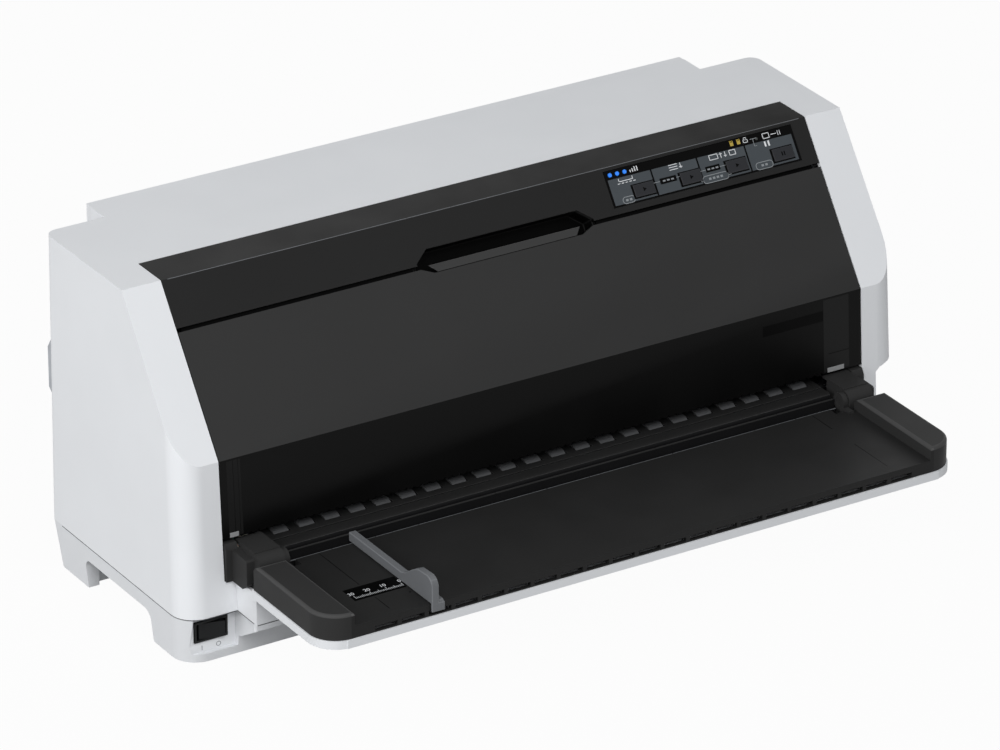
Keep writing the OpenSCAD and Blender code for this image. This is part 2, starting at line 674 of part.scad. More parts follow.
module feed_motor() color("#3b3d40") difference() {
  union() {
    rod(12, 24, pinion_at, -frame_x - frame_t - 1.5 - 12);
    along_x(1.5, -frame_x - frame_t - 0.75) translate([pinion_at[0], pinion_at[1]]) {
      circle(12);
      square([34, 8], center = true);
    }
    rod(3.6, 2, pinion_at, -frame_x - 0.6);
  }
  rod(2 + run, 20, pinion_at, -frame_x);
}

// ---- carriage ----

module carriage_shaft() color("#c8cbd0") rod(carriage_shaft_r, 2 * (frame_x + 4),
  [carriage_y, carriage_z]);
// Beam that carries the belt pulleys, and the rail that guides the carriage
module cross_beam() color("#9fa3a8") difference() {
  union() {
    block([-frame_x, 24, 86], [frame_x, 66, 87.5]);
    block([-frame_x, 24, 108], [frame_x, 26, 120]);
  }
  translate([motor_x, belt_y, 80]) cylinder(r = 5, h = 20);
  translate([belt_idler_x, belt_y, 80]) cylinder(r = 2.5 + run, h = 20);
  for (x = [-120 : 60 : 120]) translate([x, 52, 80]) cylinder(r = 6, h = 20);
}

module carriage_belt() color("#1f1f1f") translate([0, 0, belt_z])
  belt_loop([belt_idler_x, belt_y], [motor_x, belt_y], pulley_r + 0.4, 1.2, belt_w);

module pulley(x) translate([x, belt_y, 0]) {
  translate([0, 0, belt_z - 0.6]) cylinder(r = pulley_r, h = belt_w + 1.2);
  translate([0, 0, belt_z + belt_w + 0.6]) cylinder(r = pulley_r + 2, h = 1);
}
module motor_pulley() color("#c9b25a") {
  pulley(motor_x);
  translate([motor_x, belt_y, 80]) cylinder(r = 2.5, h = 12);
}
module belt_idler() color("#e8e4d8") {
  pulley(belt_idler_x);
  translate([belt_idler_x, belt_y, 82]) cylinder(r = 2.5, h = 8);
  translate([belt_idler_x, belt_y, 82]) cylinder(r = 4.5, h = 2);
}
module carriage_motor() color("#3b3d40") difference() {
  translate([motor_x, belt_y, 54]) cylinder(r = 18, h = 32);
  translate([motor_x, belt_y, 78]) cylinder(r = 2.5 + run, h = 20);
}

module carriage() color("#46484b") difference() {
  union() {
    block([-carriage_w / 2, -10, 89], [carriage_w / 2, 22, 111]);
    both_sides() block([25, -42, 84], [carriage_w / 2, -9, 104]);
    block([-12, 21, 89], [12, 38.4, 96.5]);
    block([-20, 20, 100], [20, 30, 118]);
  }
  rod(carriage_shaft_r + run, 100, [carriage_y, carriage_z]);
  // slot for the front run of the belt
  block([-20, belt_y - pulley_r - 2.2, belt_z - 0.5], [20, belt_y - pulley_r + 0.3, 95.5]);
  block([-30, 23.6, 107.7], [30, 26.4, 125]);
}

module print_head() color("#26282b") {
  difference() {
    block([-24, -40, 86], [24, -11, 119]);
    for (x = [-19 : 6 : 23]) block([x - 1.4, -45, 92], [x + 1.4, -14, 125]);
  }
  // tapered nose with the needle guide at its tip
  translate([0, -28, 67.5]) cylinder(r1 = 5, r2 = 13, h = 18.6);
  both_sides() block([23.5, -34, 104], [31, -12, 107]);
}

module ribbon_cartridge() color("#202123") difference() {
  union() {
    block([-199.8, 34, 122], [199.8, 66, 142]);
    both_sides() {
      block([176, -38, 122], [190, 35, 142]);
      block([176, -38, 66.8], [190, -20, 123]);
    }
  }
  both_sides() block([170, -35.6, 66], [187, -22.6, 74]);
  block([-170, 32, 121], [170, 35.5, 143]);
  translate([-120, 50, 130]) cylinder(r = 4 + run, h = 20);
}
module ink_ribbon() color("#111111") block([-186.8, -35, 66.2], [186.8, -23, 66.6]);
module ribbon_knob() color("#3f4144") translate([-120, 50, 0]) {
  translate([0, 0, 132]) cylinder(r = 4, h = 12);
  translate([0, 0, 142.5]) difference() {
    cylinder(r = 11, h = 8);
    for (a = [0 : 30 : 330]) rotate(a) translate([11.4, 0, -1]) cylinder(r = 1.6, h = 10, $fn = 16);
  }
}

// ---- electrics ----

board_z = floor_z + floor_t + 3;
module main_board() color("#2c5a3c") {
  block([-180, -12, board_z], [60, 66, board_z + 1.6]);
  for (x = [-174, 54], y = [-6, 60]) translate([x, y, floor_z + floor_t])
    cylinder(r = 3, h = 3.2);
  block([-60, 16, board_z + 1.5], [-34, 42, board_z + 4]);
  block([-110, 20, board_z + 1.5], [-90, 34, board_z + 3.6]);
  for (x = [-160 : 22 : 40]) block([x, 52, board_z + 1.5], [x + 16, 60, board_z + 9]);
}
module power_board() color("#8a6a3c") {
  block([72, -52, board_z], [192, 66, board_z + 1.6]);
  for (x = [78, 186], y = [-46, 60]) translate([x, y, floor_z + floor_t])
    cylinder(r = 3, h = 3.2);
  for (y = [-40, -18]) translate([160, y, board_z + 1.5]) cylinder(r = 8, h = 17);
  block([80, 40, board_z + 1.5], [150, 43, board_z + 20]);
}
module transformer() color("#b98d3a") {
  block([88, -44, board_z + 1.6], [128, -8, board_z + 19]);
  block([94, -50, board_z + 4], [122, -2, board_z + 16]);
}
module mains_inlet() color("#1b1b1c") difference() {
  union() {
    block(inlet_box[0] + [0.2, -4, 0.2], inlet_box[1] - [0.2, 15, 0.2]);
    block([202, case_rear_y, 44], [235, case_rear_y + 2, 69]);
  }
  block([209, 60, 49.5], [229, 90, 63.5]);
}
hairline = 0.05; // joint between the sheets of one fitting
// Data socket: a back and four walls, each a sheet of its own with hairline joints
module data_socket(x, z, back_y, rear_y, inner_y, t) {
  block([x[0] - t, inner_y, z[0] - t], [x[1] + t, back_y - hairline, z[1] + t]);
  for (at = [[x[0] - t, x[0]], [x[1], x[1] + t]])
    block([at[0], back_y, z[0] - t], [at[1], rear_y, z[1] + t]);
  for (at = [[z[0] - t, z[0]], [z[1], z[1] + t]])
    block([x[0] + hairline, back_y, at[0]], [x[1] - hairline, rear_y, at[1]]);
}
module port_panel() color("#a9adb2") {
  data_socket([-218, -208], [69, 129], 70, case_rear_y + 4, 60, 3);
  data_socket([-217, -208], [54, 61], 66, case_rear_y + 3, 62, 2);
  // strips of the cover plate round the two sockets
  for (s = [[-229, 47, -221, 141], [-205, 47, -195, 141], [-221, 132, -205, 141],
      [-221, 63, -205, 66], [-221, 47, -205, 52], [-221, 52, -219, 63], [-206, 52, -205, 63]])
    block([s[0] + hairline, case_rear_y, s[1] + hairline],
      [s[2] - hairline, case_rear_y + 1.2, s[3] - hairline]);
}

// ---- tractor ----

module tractor_frame() color("#8f9297") difference() {
  union() {
    both_sides() {
      along_x(3, 179.5) polygon([[case_rear_y, 44], [case_rear_y, 96], [150, 96],
        [tractor_rear_y - 8, 90], [tractor_rear_y, 78], [tractor_rear_y, 52],
        [tractor_rear_y - 10, 44]]);
      block([179, case_rear_y, 84], [193, case_rear_y + 2.5, 96]);
      block([179, case_rear_y, 44], [193, case_rear_y + 2.5, 54]);
    }
    block([-179, 160, 46], [179, 168, 52]);
    block([-179, 84, 46], [179, 92, 52]);
  }
  rod(3 + run, 400, tractor_at);
  rod(4 + run, 400, tractor_rod);
  both_sides() along_x(10, 179.5) translate([84, 56]) square([18, 26]);
}
module tractor_rod() color("#c8cbd0") rod(4, 366, tractor_rod);
module tractor_belt() color("#1f1f1f") translate([tractor_belt_x, 0, 0]) rotate([90, 0, 90])
  belt_loop([rear_roller_y, roller_z], tractor_at, tractor_pulley_r + 0.4, 1.2, 5);
module tractor_shaft() color("#c8cbd0") {
  translate([0, tractor_at[0], tractor_at[1]]) cube([350, 6, 6], center = true);
  rod(3, 374, tractor_at);
  rod(tractor_pulley_r, 6, tractor_at, tractor_belt_x + 2.5);
}

module tractor_body() difference() {
  union() {
    along_x(16, tractor_x) polygon([[96, 60], [96, 80], [100, 84], [166, 84], [172, 78],
      [172, 60], [166, 57], [102, 57]]);
    for (y = [96, 164]) block([tractor_x + 7, y, 80],
      [tractor_x + tractor_hinge[0] + 3, y + 6, tractor_hinge[1] + 3]);
  }
  rod(6, 40, tractor_at, tractor_x);
  rod(4 + run, 40, tractor_rod, tractor_x);
  translate([tractor_x + tractor_hinge[0], 90, tractor_hinge[1]]) rotate([-90, 0, 0])
    cylinder(r = 1.5 + run, h = 90);
}
module sprocket() difference() {
  union() {
    rod(10.5, 5, tractor_at, tractor_x - 11);
    rod(6 - run, 17, tractor_at, tractor_x - 0.5);
    for (a = [0 : 30 : 330]) translate([tractor_x - 11, tractor_at[0], tractor_at[1]])
      rotate([a, 0, 0]) translate([0, 0, 9]) cylinder(r = 1.5, h = 3.4, $fn = 16);
  }
  translate([tractor_x, tractor_at[0], tractor_at[1]]) cube([60, 6.1, 6.1], center = true);
}
module tractor_flap() {
  hx = tractor_x + tractor_hinge[0];
  block([tractor_x - 18, 98, tractor_hinge[1] - 1.2], [hx, 170, tractor_hinge[1] + 1.2]);
  translate([hx, 102.4, tractor_hinge[1]]) rotate([-90, 0, 0]) cylinder(r = 2.8, h = 61.2);
  translate([hx, 97, tractor_hinge[1]]) rotate([-90, 0, 0]) cylinder(r = 1.5, h = 72);
}
module tractor_right() color("#55585c") tractor_body();
module tractor_left() color("#55585c") mirror([1, 0, 0]) tractor_body();
module sprocket_right() color("#e8e4d8") sprocket();
module sprocket_left() color("#e8e4d8") mirror([1, 0, 0]) sprocket();
module tractor_flap_right() color("#46484b") flap_cut() tractor_flap();
module tractor_flap_left() color("#46484b") mirror([1, 0, 0]) flap_cut() tractor_flap();
// Clears the flap round the hinge ears and over the sprocket's pins
module flap_cut() difference() {
  children();
  for (y = [95, 163.4]) difference() {
    block([tractor_x + 5.5, y, 70], [tractor_x + 20, y + 7.4, 100]);
    translate([tractor_x + tractor_hinge[0], 90, tractor_hinge[1]]) rotate([-90, 0, 0])
      cylinder(r = 1.5, h = 90);
  }
  block([tractor_x - 14, 104, 80], [tractor_x - 8, 132, 100]);
}

upper_case();
lower_case();
front_band();
finger_cup();
control_label();
control_board();
status_leds();
side_frame_left();
side_frame_right();
entry_guide();
paper_deck();
platen();
carriage_shaft();
cross_beam();
carriage_belt();
carriage_motor();
feed_motor();
shaft_bushes();
ribbon_cartridge();
ink_ribbon();
tray_bracket_left();
tray_bracket_right();
main_board();
power_board();
transformer();
mains_inlet();
port_panel();
switch_body();
rubber_feet();
case_screws();
tractor_frame();
tractor_rod();
tractor_belt();
front_cover();
paper_tray();
tray_shell();
tray_scale();
edge_guide();
tear_off_button();
line_feed_button();
load_button();
pause_button();
power_rocker();
carriage();
print_head();
motor_pulley();
belt_idler();
front_feed_roller();
rear_feed_roller();
idler_gear();
motor_pinion();
pinch_roller();
tractor_shaft();
tractor_left();
tractor_right();
sprocket_left();
sprocket_right();
tractor_flap_left();
tractor_flap_right();
ribbon_knob();
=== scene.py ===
import json
import math

import bmesh
import bpy
from mathutils import Matrix, Vector


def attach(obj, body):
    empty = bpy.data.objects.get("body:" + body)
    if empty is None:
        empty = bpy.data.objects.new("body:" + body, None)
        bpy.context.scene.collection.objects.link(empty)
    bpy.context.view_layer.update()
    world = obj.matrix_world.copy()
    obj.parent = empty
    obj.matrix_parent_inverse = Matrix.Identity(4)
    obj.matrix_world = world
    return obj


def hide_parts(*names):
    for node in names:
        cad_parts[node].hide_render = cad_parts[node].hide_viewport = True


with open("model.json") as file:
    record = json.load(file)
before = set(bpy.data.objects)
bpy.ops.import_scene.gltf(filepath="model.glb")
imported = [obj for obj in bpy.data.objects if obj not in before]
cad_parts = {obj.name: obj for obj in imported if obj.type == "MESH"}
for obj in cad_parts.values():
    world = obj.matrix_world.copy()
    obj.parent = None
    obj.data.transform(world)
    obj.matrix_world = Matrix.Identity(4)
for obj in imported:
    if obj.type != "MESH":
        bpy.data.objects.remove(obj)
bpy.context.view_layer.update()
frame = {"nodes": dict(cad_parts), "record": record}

MM = 0.001
NOISE_LOW, NOISE_HIGH = 0.3, 0.7    # most of a noise lies between these


# ---- finishes ----

def colour(hex_code):
    """An sRGB hex colour as the linear values that a socket takes."""
    parts = [int(hex_code[i:i + 2], 16) / 255 for i in (1, 3, 5)]
    return [c / 12.92 if c <= 0.04045 else ((c + 0.055) / 1.055) ** 2.4 for c in parts] + [1.0]


def shade(base, factor, lift=0.0):
    """A colour made lighter or darker."""
    return [min(1, c * factor + lift) for c in colour(base)[:3]] + [1]


def add(tree, kind, settings=None, **inputs):
    """Adds one shader node with its settings, and sets or links its inputs."""
    node = tree.nodes.new("ShaderNode" + kind)
    for name, value in (settings or {}).items():
        setattr(node, name, value)
    for name, value in inputs.items():
        socket = node.inputs[int(name[1:])] if name[0] == "i" and name[1:].isdigit() \
            else node.inputs[name.replace("_", " ")]
        if isinstance(value, bpy.types.NodeSocket):
            tree.links.new(value, socket)
        else:
            socket.default_value = value
    return node


def empty_tree(owner):
    """The node tree of a material or a world, with nothing in it."""
    owner.use_nodes = True
    owner.node_tree.nodes.clear()
    return owner.node_tree


def start_finish(name, rough, **sockets):
    """A plain material: its tree, its shader and the object's own coordinates in metres."""
    made = bpy.data.materials.new(name)
    tree = empty_tree(made)
    shader = add(tree, "BsdfPrincipled", Roughness=rough, **sockets)
    add(tree, "OutputMaterial", Surface=shader.outputs["BSDF"])
    place = add(tree, "TexCoord").outputs["Object"]
    return made, tree, shader, place


def tint(tree, shader, base, place, patch_mm, spread, edge=0.0, painted_light_fade=None):
    """Colour that drifts a little over patches of a real size, with the rounded moulded edges
    painted paler: partly wear, and partly a painted highlight where the rounding meets the light.
    The optional tuple gives a second colour and the two places in mm along X between which it
    comes in: a painted reflection that falls off along the piece."""
    patches = add(tree, "TexNoise", Vector=place, Scale=1 / (patch_mm * MM), Detail=3.0)
    ramp = add(tree, "ValToRGB", Fac=patches.outputs["Fac"])
    low, high = ramp.color_ramp.elements
    low.position, low.color = NOISE_LOW, shade(base, 1 - spread)
    high.position, high.color = NOISE_HIGH, shade(base, 1 + spread)
    result = ramp.outputs["Color"]
    # Painted reflection: the colour goes over to the second one along X
    if painted_light_fade:
        second, start, end = painted_light_fade
        across = add(tree, "SeparateXYZ", Vector=place)
        share = add(tree, "MapRange", Value=across.outputs["X"], i1=start * MM, i2=end * MM)
        mixed = add(tree, "Mix", {"data_type": "RGBA"}, i0=share.outputs[0], i6=result,
                    i7=colour(second))
        result = mixed.outputs[2]
    # Painted highlight and wear: the rounded faces take a paler colour
    if edge:
        rim = add(tree, "Attribute", {"attribute_name": "edge"})
        mixed = add(tree, "Mix", {"data_type": "RGBA"}, i0=rim.outputs["Fac"], i6=result,
                    i7=shade(base, 1 + edge, 0.12 * edge))
        result = mixed.outputs[2]
    tree.links.new(result, shader.inputs["Base Color"])


def relief(tree, shader, place, grain_mm, depth_mm, detail=2.0, stretch=None):
    """Fine relief from grains of a real size. stretch lengthens them along one axis."""
    if stretch:
        place = add(tree, "Mapping", Vector=place, Scale=stretch).outputs["Vector"]
    grain = add(tree, "TexNoise", Vector=place, Scale=1 / (grain_mm * MM), Detail=detail)
    bump = add(tree, "Bump", Height=grain.outputs["Fac"], Distance=depth_mm * MM, Strength=1.0)
    tree.links.new(bump.outputs["Normal"], shader.inputs["Normal"])


def uneven_gloss(tree, shader, place, patch_mm, low, high):
    """Roughness that wanders between two values, as handling leaves it."""
    patches = add(tree, "TexNoise", Vector=place, Scale=1 / (patch_mm * MM), Detail=4.0)
    span = add(tree, "MapRange", i0=patches.outputs["Fac"], i1=NOISE_LOW, i2=NOISE_HIGH,
               i3=low, i4=high)
    tree.links.new(span.outputs["Result"], shader.inputs["Roughness"])


def moulded_abs(name, base, rough=0.5, grain_mm=1.1, depth_mm=0.02, edge=0.05, spread=0.012,
                shine=0.5, painted_light_fade=None):
    """Injection moulded ABS from a spark-eroded tool: a soft sheen broken by a fine pebble.
    The real pebble is about 0.2 mm; it is drawn at 1.1 mm so that it still shows. shine is
    the specular level: the dark mouldings have a deep, matt texture that reflects little.
    Nylon and styrene mouldings have the same sheen, from their own colour and roughness."""
    made, tree, shader, place = start_finish(name, rough, IOR=1.53, Specular_IOR_Level=shine)
    tint(tree, shader, base, place, 60, spread, edge, painted_light_fade)
    relief(tree, shader, place, grain_mm, depth_mm)
    uneven_gloss(tree, shader, place, 35, rough - 0.06, rough + 0.07)
    return made


def smoked_polycarbonate(name, base, rough):
    """Smoked polycarbonate, moulded in one sheet: the slope is textured, and the face below it is
    smooth, its near-black colour the smoke tint with the painted shade of the machine behind it."""
    made, tree, shader, place = start_finish(name, rough, IOR=1.585, Specular_IOR_Level=0.06)
    tint(tree, shader, base, place, 90, 0.03, 0.3)
    relief(tree, shader, place, 1.4, 0.012)
    uneven_gloss(tree, shader, place, 50, rough - 0.05, rough + 0.07)
    return made


def printed_film(name, base, rough=0.28, shine=0.5):
    """Screen printed polyester film: even ink with a slight orange peel."""
    made, tree, shader, place = start_finish(name, rough, IOR=1.58, Specular_IOR_Level=shine)
    tint(tree, shader, base, place, 25, 0.03)
    relief(tree, shader, place, 2.5, 0.006)
    return made


def lamp_lens(name, base, glow):
    """Clear epoxy lamp: a bright core when lit, a dull lens when not."""
    made, tree, shader, place = start_finish(name, 0.15, IOR=1.55, Emission_Strength=glow,
                                             Emission_Color=colour(base))
    tint(tree, shader, base, place, 3, 0.12)
    return made


def bare_steel(name, base, rough, along, zinc=False):
    """Steel: zinc plated sheet has soft crystal patches, a ground shaft fine rings."""
    made, tree, shader, place = start_finish(name, rough, Metallic=1.0)
    tint(tree, shader, base, place, 9 if zinc else 40, 0.07 if zinc else 0.03, 0.03)
    relief(tree, shader, place, 0.9, 0.006, 3.0, along)
    uneven_gloss(tree, shader, place, 12, rough - 0.07, rough + 0.08)
    return made


def turned_brass():
    """Free-cutting brass, turned: warm yellow with fine tool rings."""
    made, tree, shader, place = start_finish("turned_brass", 0.28, Metallic=1.0)
    tint(tree, shader, "#c9a94f", place, 8, 0.06, 0.05)
    relief(tree, shader, place, 0.8, 0.006, 2.0, (0.2, 0.2, 3.0))
    return made


def motor_enamel():
    """Black stoved enamel on a pressed motor can, with a light orange peel."""
    made, tree, shader, place = start_finish("motor_enamel", 0.38, IOR=1.5)
    tint(tree, shader, "#333538", place, 20, 0.06, 0.04)
    relief(tree, shader, place, 2.2, 0.03)
    return made


def ground_rubber(name, base, grain_mm=0.9, rough=0.78):
    """Nitrile rubber, ground or moulded: dull, with a fine open grain and dusty patches."""
    made, tree, shader, place = start_finish(name, rough, IOR=1.52)
    tint(tree, shader, base, place, 14, 0.09, 0.03)
    relief(tree, shader, place, grain_mm, 0.05, 4.0)
    return made


def acetal():
    """Natural acetal: ivory, waxy and a little translucent."""
    made, tree, shader, place = start_finish("natural_acetal", 0.36, IOR=1.48,
                                             Subsurface_Weight=0.12, Subsurface_Scale=0.002)
    tint(tree, shader, "#e4dfd0", place, 30, 0.02, 0.03)
    relief(tree, shader, place, 1.5, 0.012)
    return made


def board_laminate(name, base):
    """Glass or paper laminate under solder mask: glossy, with tracks showing as faint relief."""
    made, tree, shader, place = start_finish(name, 0.3, IOR=1.55)
    tracks = add(tree, "TexBrick", {"offset": 0.35}, Vector=place, Scale=1 / (7 * MM),
                 Mortar_Size=0.02, Color1=colour(base), Color2=shade(base, 0.86),
                 Mortar=shade(base, 1.5))
    tree.links.new(tracks.outputs["Color"], shader.inputs["Base Color"])
    bump = add(tree, "Bump", Height=tracks.outputs["Fac"], Distance=0.03 * MM)
    tree.links.new(bump.outputs["Normal"], shader.inputs["Normal"])
    return made


def inked_nylon():
    """Woven nylon ribbon, inked black: a matt 0.5 mm weave."""
    made, tree, shader, place = start_finish("inked_nylon", 0.82, IOR=1.46, Sheen_Weight=0.3)
    tint(tree, shader, "#141416", place, 6, 0.25)
    threads = add(tree, "TexWave", {"bands_direction": "X"}, Vector=place, Scale=0.3 / (0.5 * MM))
    bump = add(tree, "Bump", Height=threads.outputs["Fac"], Distance=0.05 * MM)
    tree.links.new(bump.outputs["Normal"], shader.inputs["Normal"])
    return made


def wound_copper():
    """Enamelled copper wire under yellow tape: fine windings 0.6 mm apart."""
    made, tree, shader, place = start_finish("wound_copper", 0.35, IOR=1.5, Coat_Weight=0.4)
    tint(tree, shader, "#b8842f", place, 4, 0.12)
    wires = add(tree, "TexWave", {"bands_direction": "Z"}, Vector=place, Scale=0.3 / (0.6 * MM))
    bump = add(tree, "Bump", Height=wires.outputs["Fac"], Distance=0.12 * MM)
    tree.links.new(bump.outputs["Normal"], shader.inputs["Normal"])
    return made


case_abs = moulded_abs("case_abs_cool_white", "#e1e3e6", 0.5)
base_abs = moulded_abs("base_abs_cool_white", "#dcdee1", 0.52)
band_abs = moulded_abs("band_abs_charcoal", "#252525", 0.44, edge=0.2, spread=0.03, shine=0.05)
# The band's flat top: a painted reflection, lighter at the left and darker towards the right
band_top_painted_reflection = moulded_abs("band_top_painted_reflection_charcoal", "#252525", 0.44, edge=0.2, spread=0.03,
                           shine=0.05, painted_light_fade=("#0e0e0e", -140, 210))
tray_abs = moulded_abs("tray_abs_charcoal", "#2f2f2f", 0.5, edge=0.2, spread=0.03, shine=0.06)
# The plate's rounded edges are painted much paler, as a painted highlight
plate_abs = moulded_abs("plate_abs_black", "#232323", 0.4, 1.4, 0.012, edge=0.5, spread=0.04,
                        shine=0.08)
# Near black with almost no sheen: the finger cup, and painted shade on the band's ledge in the gap
# above the cover
cup_and_painted_shade_abs = moulded_abs("cup_and_painted_shade_abs_black", "#070707", 0.5, shine=0.02)
dark_abs = moulded_abs("inner_abs_black", "#161617", 0.5, edge=0.12, spread=0.04, shine=0.05)
# The edge guide's grey, and also the colour of the painted highlights along the band's fold and
# the plate's rear edge
guide_and_painted_highlight_abs = moulded_abs("guide_and_painted_highlight_abs_grey", "#67696c", 0.42, edge=0.08, spread=0.02, shine=0.2)
button_abs = moulded_abs("button_abs_dark", "#2a2b2e", 0.4, 0.8, 0.012, edge=0.12, spread=0.03,
                         shine=0.1)
rocker_nylon = moulded_abs("rocker_nylon_black", "#18191a", 0.34, 0.9, 0.01, edge=0.1, spread=0.03,
                           shine=0.12)
tractor_abs = moulded_abs("tractor_abs_grey", "#505357", 0.45, edge=0.06, spread=0.03, shine=0.25)
cartridge_styrene = moulded_abs("cartridge_styrene_black", "#191a1c", 0.4, edge=0.1, spread=0.04,
                                shine=0.12)
cover_slope = smoked_polycarbonate("smoked_polycarbonate_textured", "#323232", 0.42)
# Near black: the smoke tint, with the shade of the machine behind the clear face painted in
cover_face_painted_shade = smoked_polycarbonate("smoked_polycarbonate_clear_painted_shade", "#070707", 0.34)
cover_rib = smoked_polycarbonate("smoked_polycarbonate_ribbed", "#1c1c1c", 0.34)
cover_scoop = smoked_polycarbonate("smoked_polycarbonate_matt", "#3b3b3b", 0.4)
pad_abs = moulded_abs("pad_abs_pale", "#8d8e8f", 0.5, shine=0.2)
# Black printed film; the same black also paints shade on the caps' sides, round the caps, in the
# cover's slot and in the plate's pin hole
panel_film = printed_film("print_film_and_painted_shade_black", "#060606", 0.3, 0.03)
field_film = printed_film("panel_film_grey", "#474c50", 0.36, 0.06)
scale_film = printed_film("scale_film_black", "#050505", 0.3, 0.02)
white_ink = printed_film("screen_ink_white", "#d9dbde", 0.4)
grey_ink = printed_film("screen_ink_grey", "#8b8f92", 0.45, 0.1)
lamp_blue = lamp_lens("lamp_epoxy_blue", "#1468c8", 0.7)
lamp_yellow = lamp_lens("lamp_epoxy_yellow", "#a8902c", 0.1)
lamp_off = lamp_lens("lamp_epoxy_clear", "#1d2622", 0.0)
zinc_sheet = bare_steel("zinc_plated_sheet", "#a4a8ae", 0.34, (1, 1, 1), zinc=True)
ground_shaft = bare_steel("ground_steel_shaft", "#c6c9ce", 0.2, (5, 0.5, 0.5))
brass = turned_brass()
enamel = motor_enamel()
roller_rubber = ground_rubber("roller_rubber_grey", "#47484a")
belt_rubber = ground_rubber("belt_rubber_black", "#1d1d1e", 0.7)
foot_rubber = ground_rubber("foot_rubber_black", "#27272a", 1.4)
# Painted shadow: the dark line in the groove between the two shells
seam_painted_shadow = ground_rubber("seam_painted_shadow_grey", "#3f4144", 1.5)
nylon_natural = acetal()
board_green = board_laminate("board_green_mask", "#235036")
board_brown = board_laminate("board_brown_paper", "#7d5f35")
ribbon_cloth = inked_nylon()
copper = wound_copper()


# ---- making pieces ----

# The slope of the front: x across, y up the slope, z out of it, from the fold at the top
FOLD_Y, CASE_TOP, BEND_Y, BEND_Z = -15, 208, -76.2, 122.3
SLOPE = math.atan2(CASE_TOP - BEND_Z, FOLD_Y - BEND_Y)
ON_SLOPE = Matrix.Translation((0, FOLD_Y, CASE_TOP)) @ Matrix.Rotation(SLOPE, 4, "X")
TO_SLOPE = ON_SLOPE.inverted()

SMOOTH_BELOW = math.radians(30)    # edges that turn less than this are shaded as one surface
CORNER_FROM = math.radians(32)     # edges of a moulding that turn more than this are rounded
BLOCK_CORNER = math.radians(50)    # and those of a small block
FLAT_BELOW = math.radians(0.3)     # triangles that turn less than this become one face
MERGE_MM = 0.002                   # corners of loose triangles this near are one


def finish_piece(name, bm, body, *finishes, replaces=(), slot=None):
    """Turns a bmesh in millimetres into a piece that rides on a body."""
    bmesh.ops.transform(bm, matrix=Matrix.Scale(MM, 4), verts=bm.verts)
    for edge in bm.edges:
        edge.smooth = len(edge.link_faces) == 2 and edge.calc_face_angle(0) < SMOOTH_BELOW
    for face in bm.faces:
        face.smooth = True
    mesh = bpy.data.meshes.new(name)
    bm.to_mesh(mesh)
    bm.free()
    for made in finishes:
        mesh.materials.append(made)
    piece = bpy.data.objects.new(name, mesh)
    bpy.context.scene.collection.objects.link(piece)
    even = piece.modifiers.new("even_shading", "WEIGHTED_NORMAL")
    even.keep_sharp = True
    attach(piece, body)
    if replaces:
        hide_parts(*replaces)


def soften(bm, edges, width, segments=2):
    """Rounds edges, and marks the new faces so that a finish can tell them."""
    rim = bm.faces.layers.float.get("edge") or bm.faces.layers.float.new("edge")
    edges = [e for e in edges if e.is_valid]
    if edges:
        made = bmesh.ops.bevel(bm, geom=edges, offset=width, offset_type="OFFSET",
                               segments=segments, profile=0.5, affect="EDGES",
                               clamp_overlap=True, material=-1)
        for face in made["faces"]:
            face[rim] = 1.0


def body_of(node):
    """The body that a node is part of."""
    return next(body for body, nodes in frame["record"]["behaviour"]["bodies"].items()
                if node in nodes)


def slot_of(node):
    """The material slot that the record gives a node."""
    return next(part["material_slot"] for part in frame["record"]["subparts"]
                if part["node"] == node)


def moulded_copy(node, made, width=0.5, longer_than=1.4, segments=2, sort=None, extra=(),
                 crown=None, crown_width=1.5):
    """A node's own solid with its moulded edges rounded. sort gives each face its finish,
    and crown picks the edges that are rounded first and further."""
    bm = bmesh.new()
    bm.from_mesh(frame["nodes"][node].data)
    bmesh.ops.transform(bm, matrix=Matrix.Scale(1 / MM, 4), verts=bm.verts)
    bmesh.ops.remove_doubles(bm, verts=bm.verts, dist=MERGE_MM)
    bmesh.ops.dissolve_limit(bm, angle_limit=FLAT_BELOW, verts=bm.verts, edges=bm.edges,
                             delimit={"NORMAL"})
    for face in bm.faces:
        face.material_index = sort(face) if sort else 0
    rim = bm.faces.layers.float.new("edge")

    def corners(chosen=lambda edge: True):
        """The sharp edges that are long enough, and not beside one that is rounded already."""
        return [e for e in bm.edges if len(e.link_faces) == 2 and e.calc_length() > longer_than
                and not any(f[rim] for f in e.link_faces)
                and e.calc_face_angle(0) > CORNER_FROM and chosen(e)]

    if crown:
        soften(bm, corners(crown), crown_width, 4)
    soften(bm, corners(), width, segments)
    finish_piece(node + "_moulded", bm, body_of(node), made, *extra,
                 replaces=(node,), slot=slot_of(node))


def edges_of(verts):
    """The edges at some vertices, in one order on every run."""
    return dict.fromkeys(e for v in verts for e in v.link_edges)


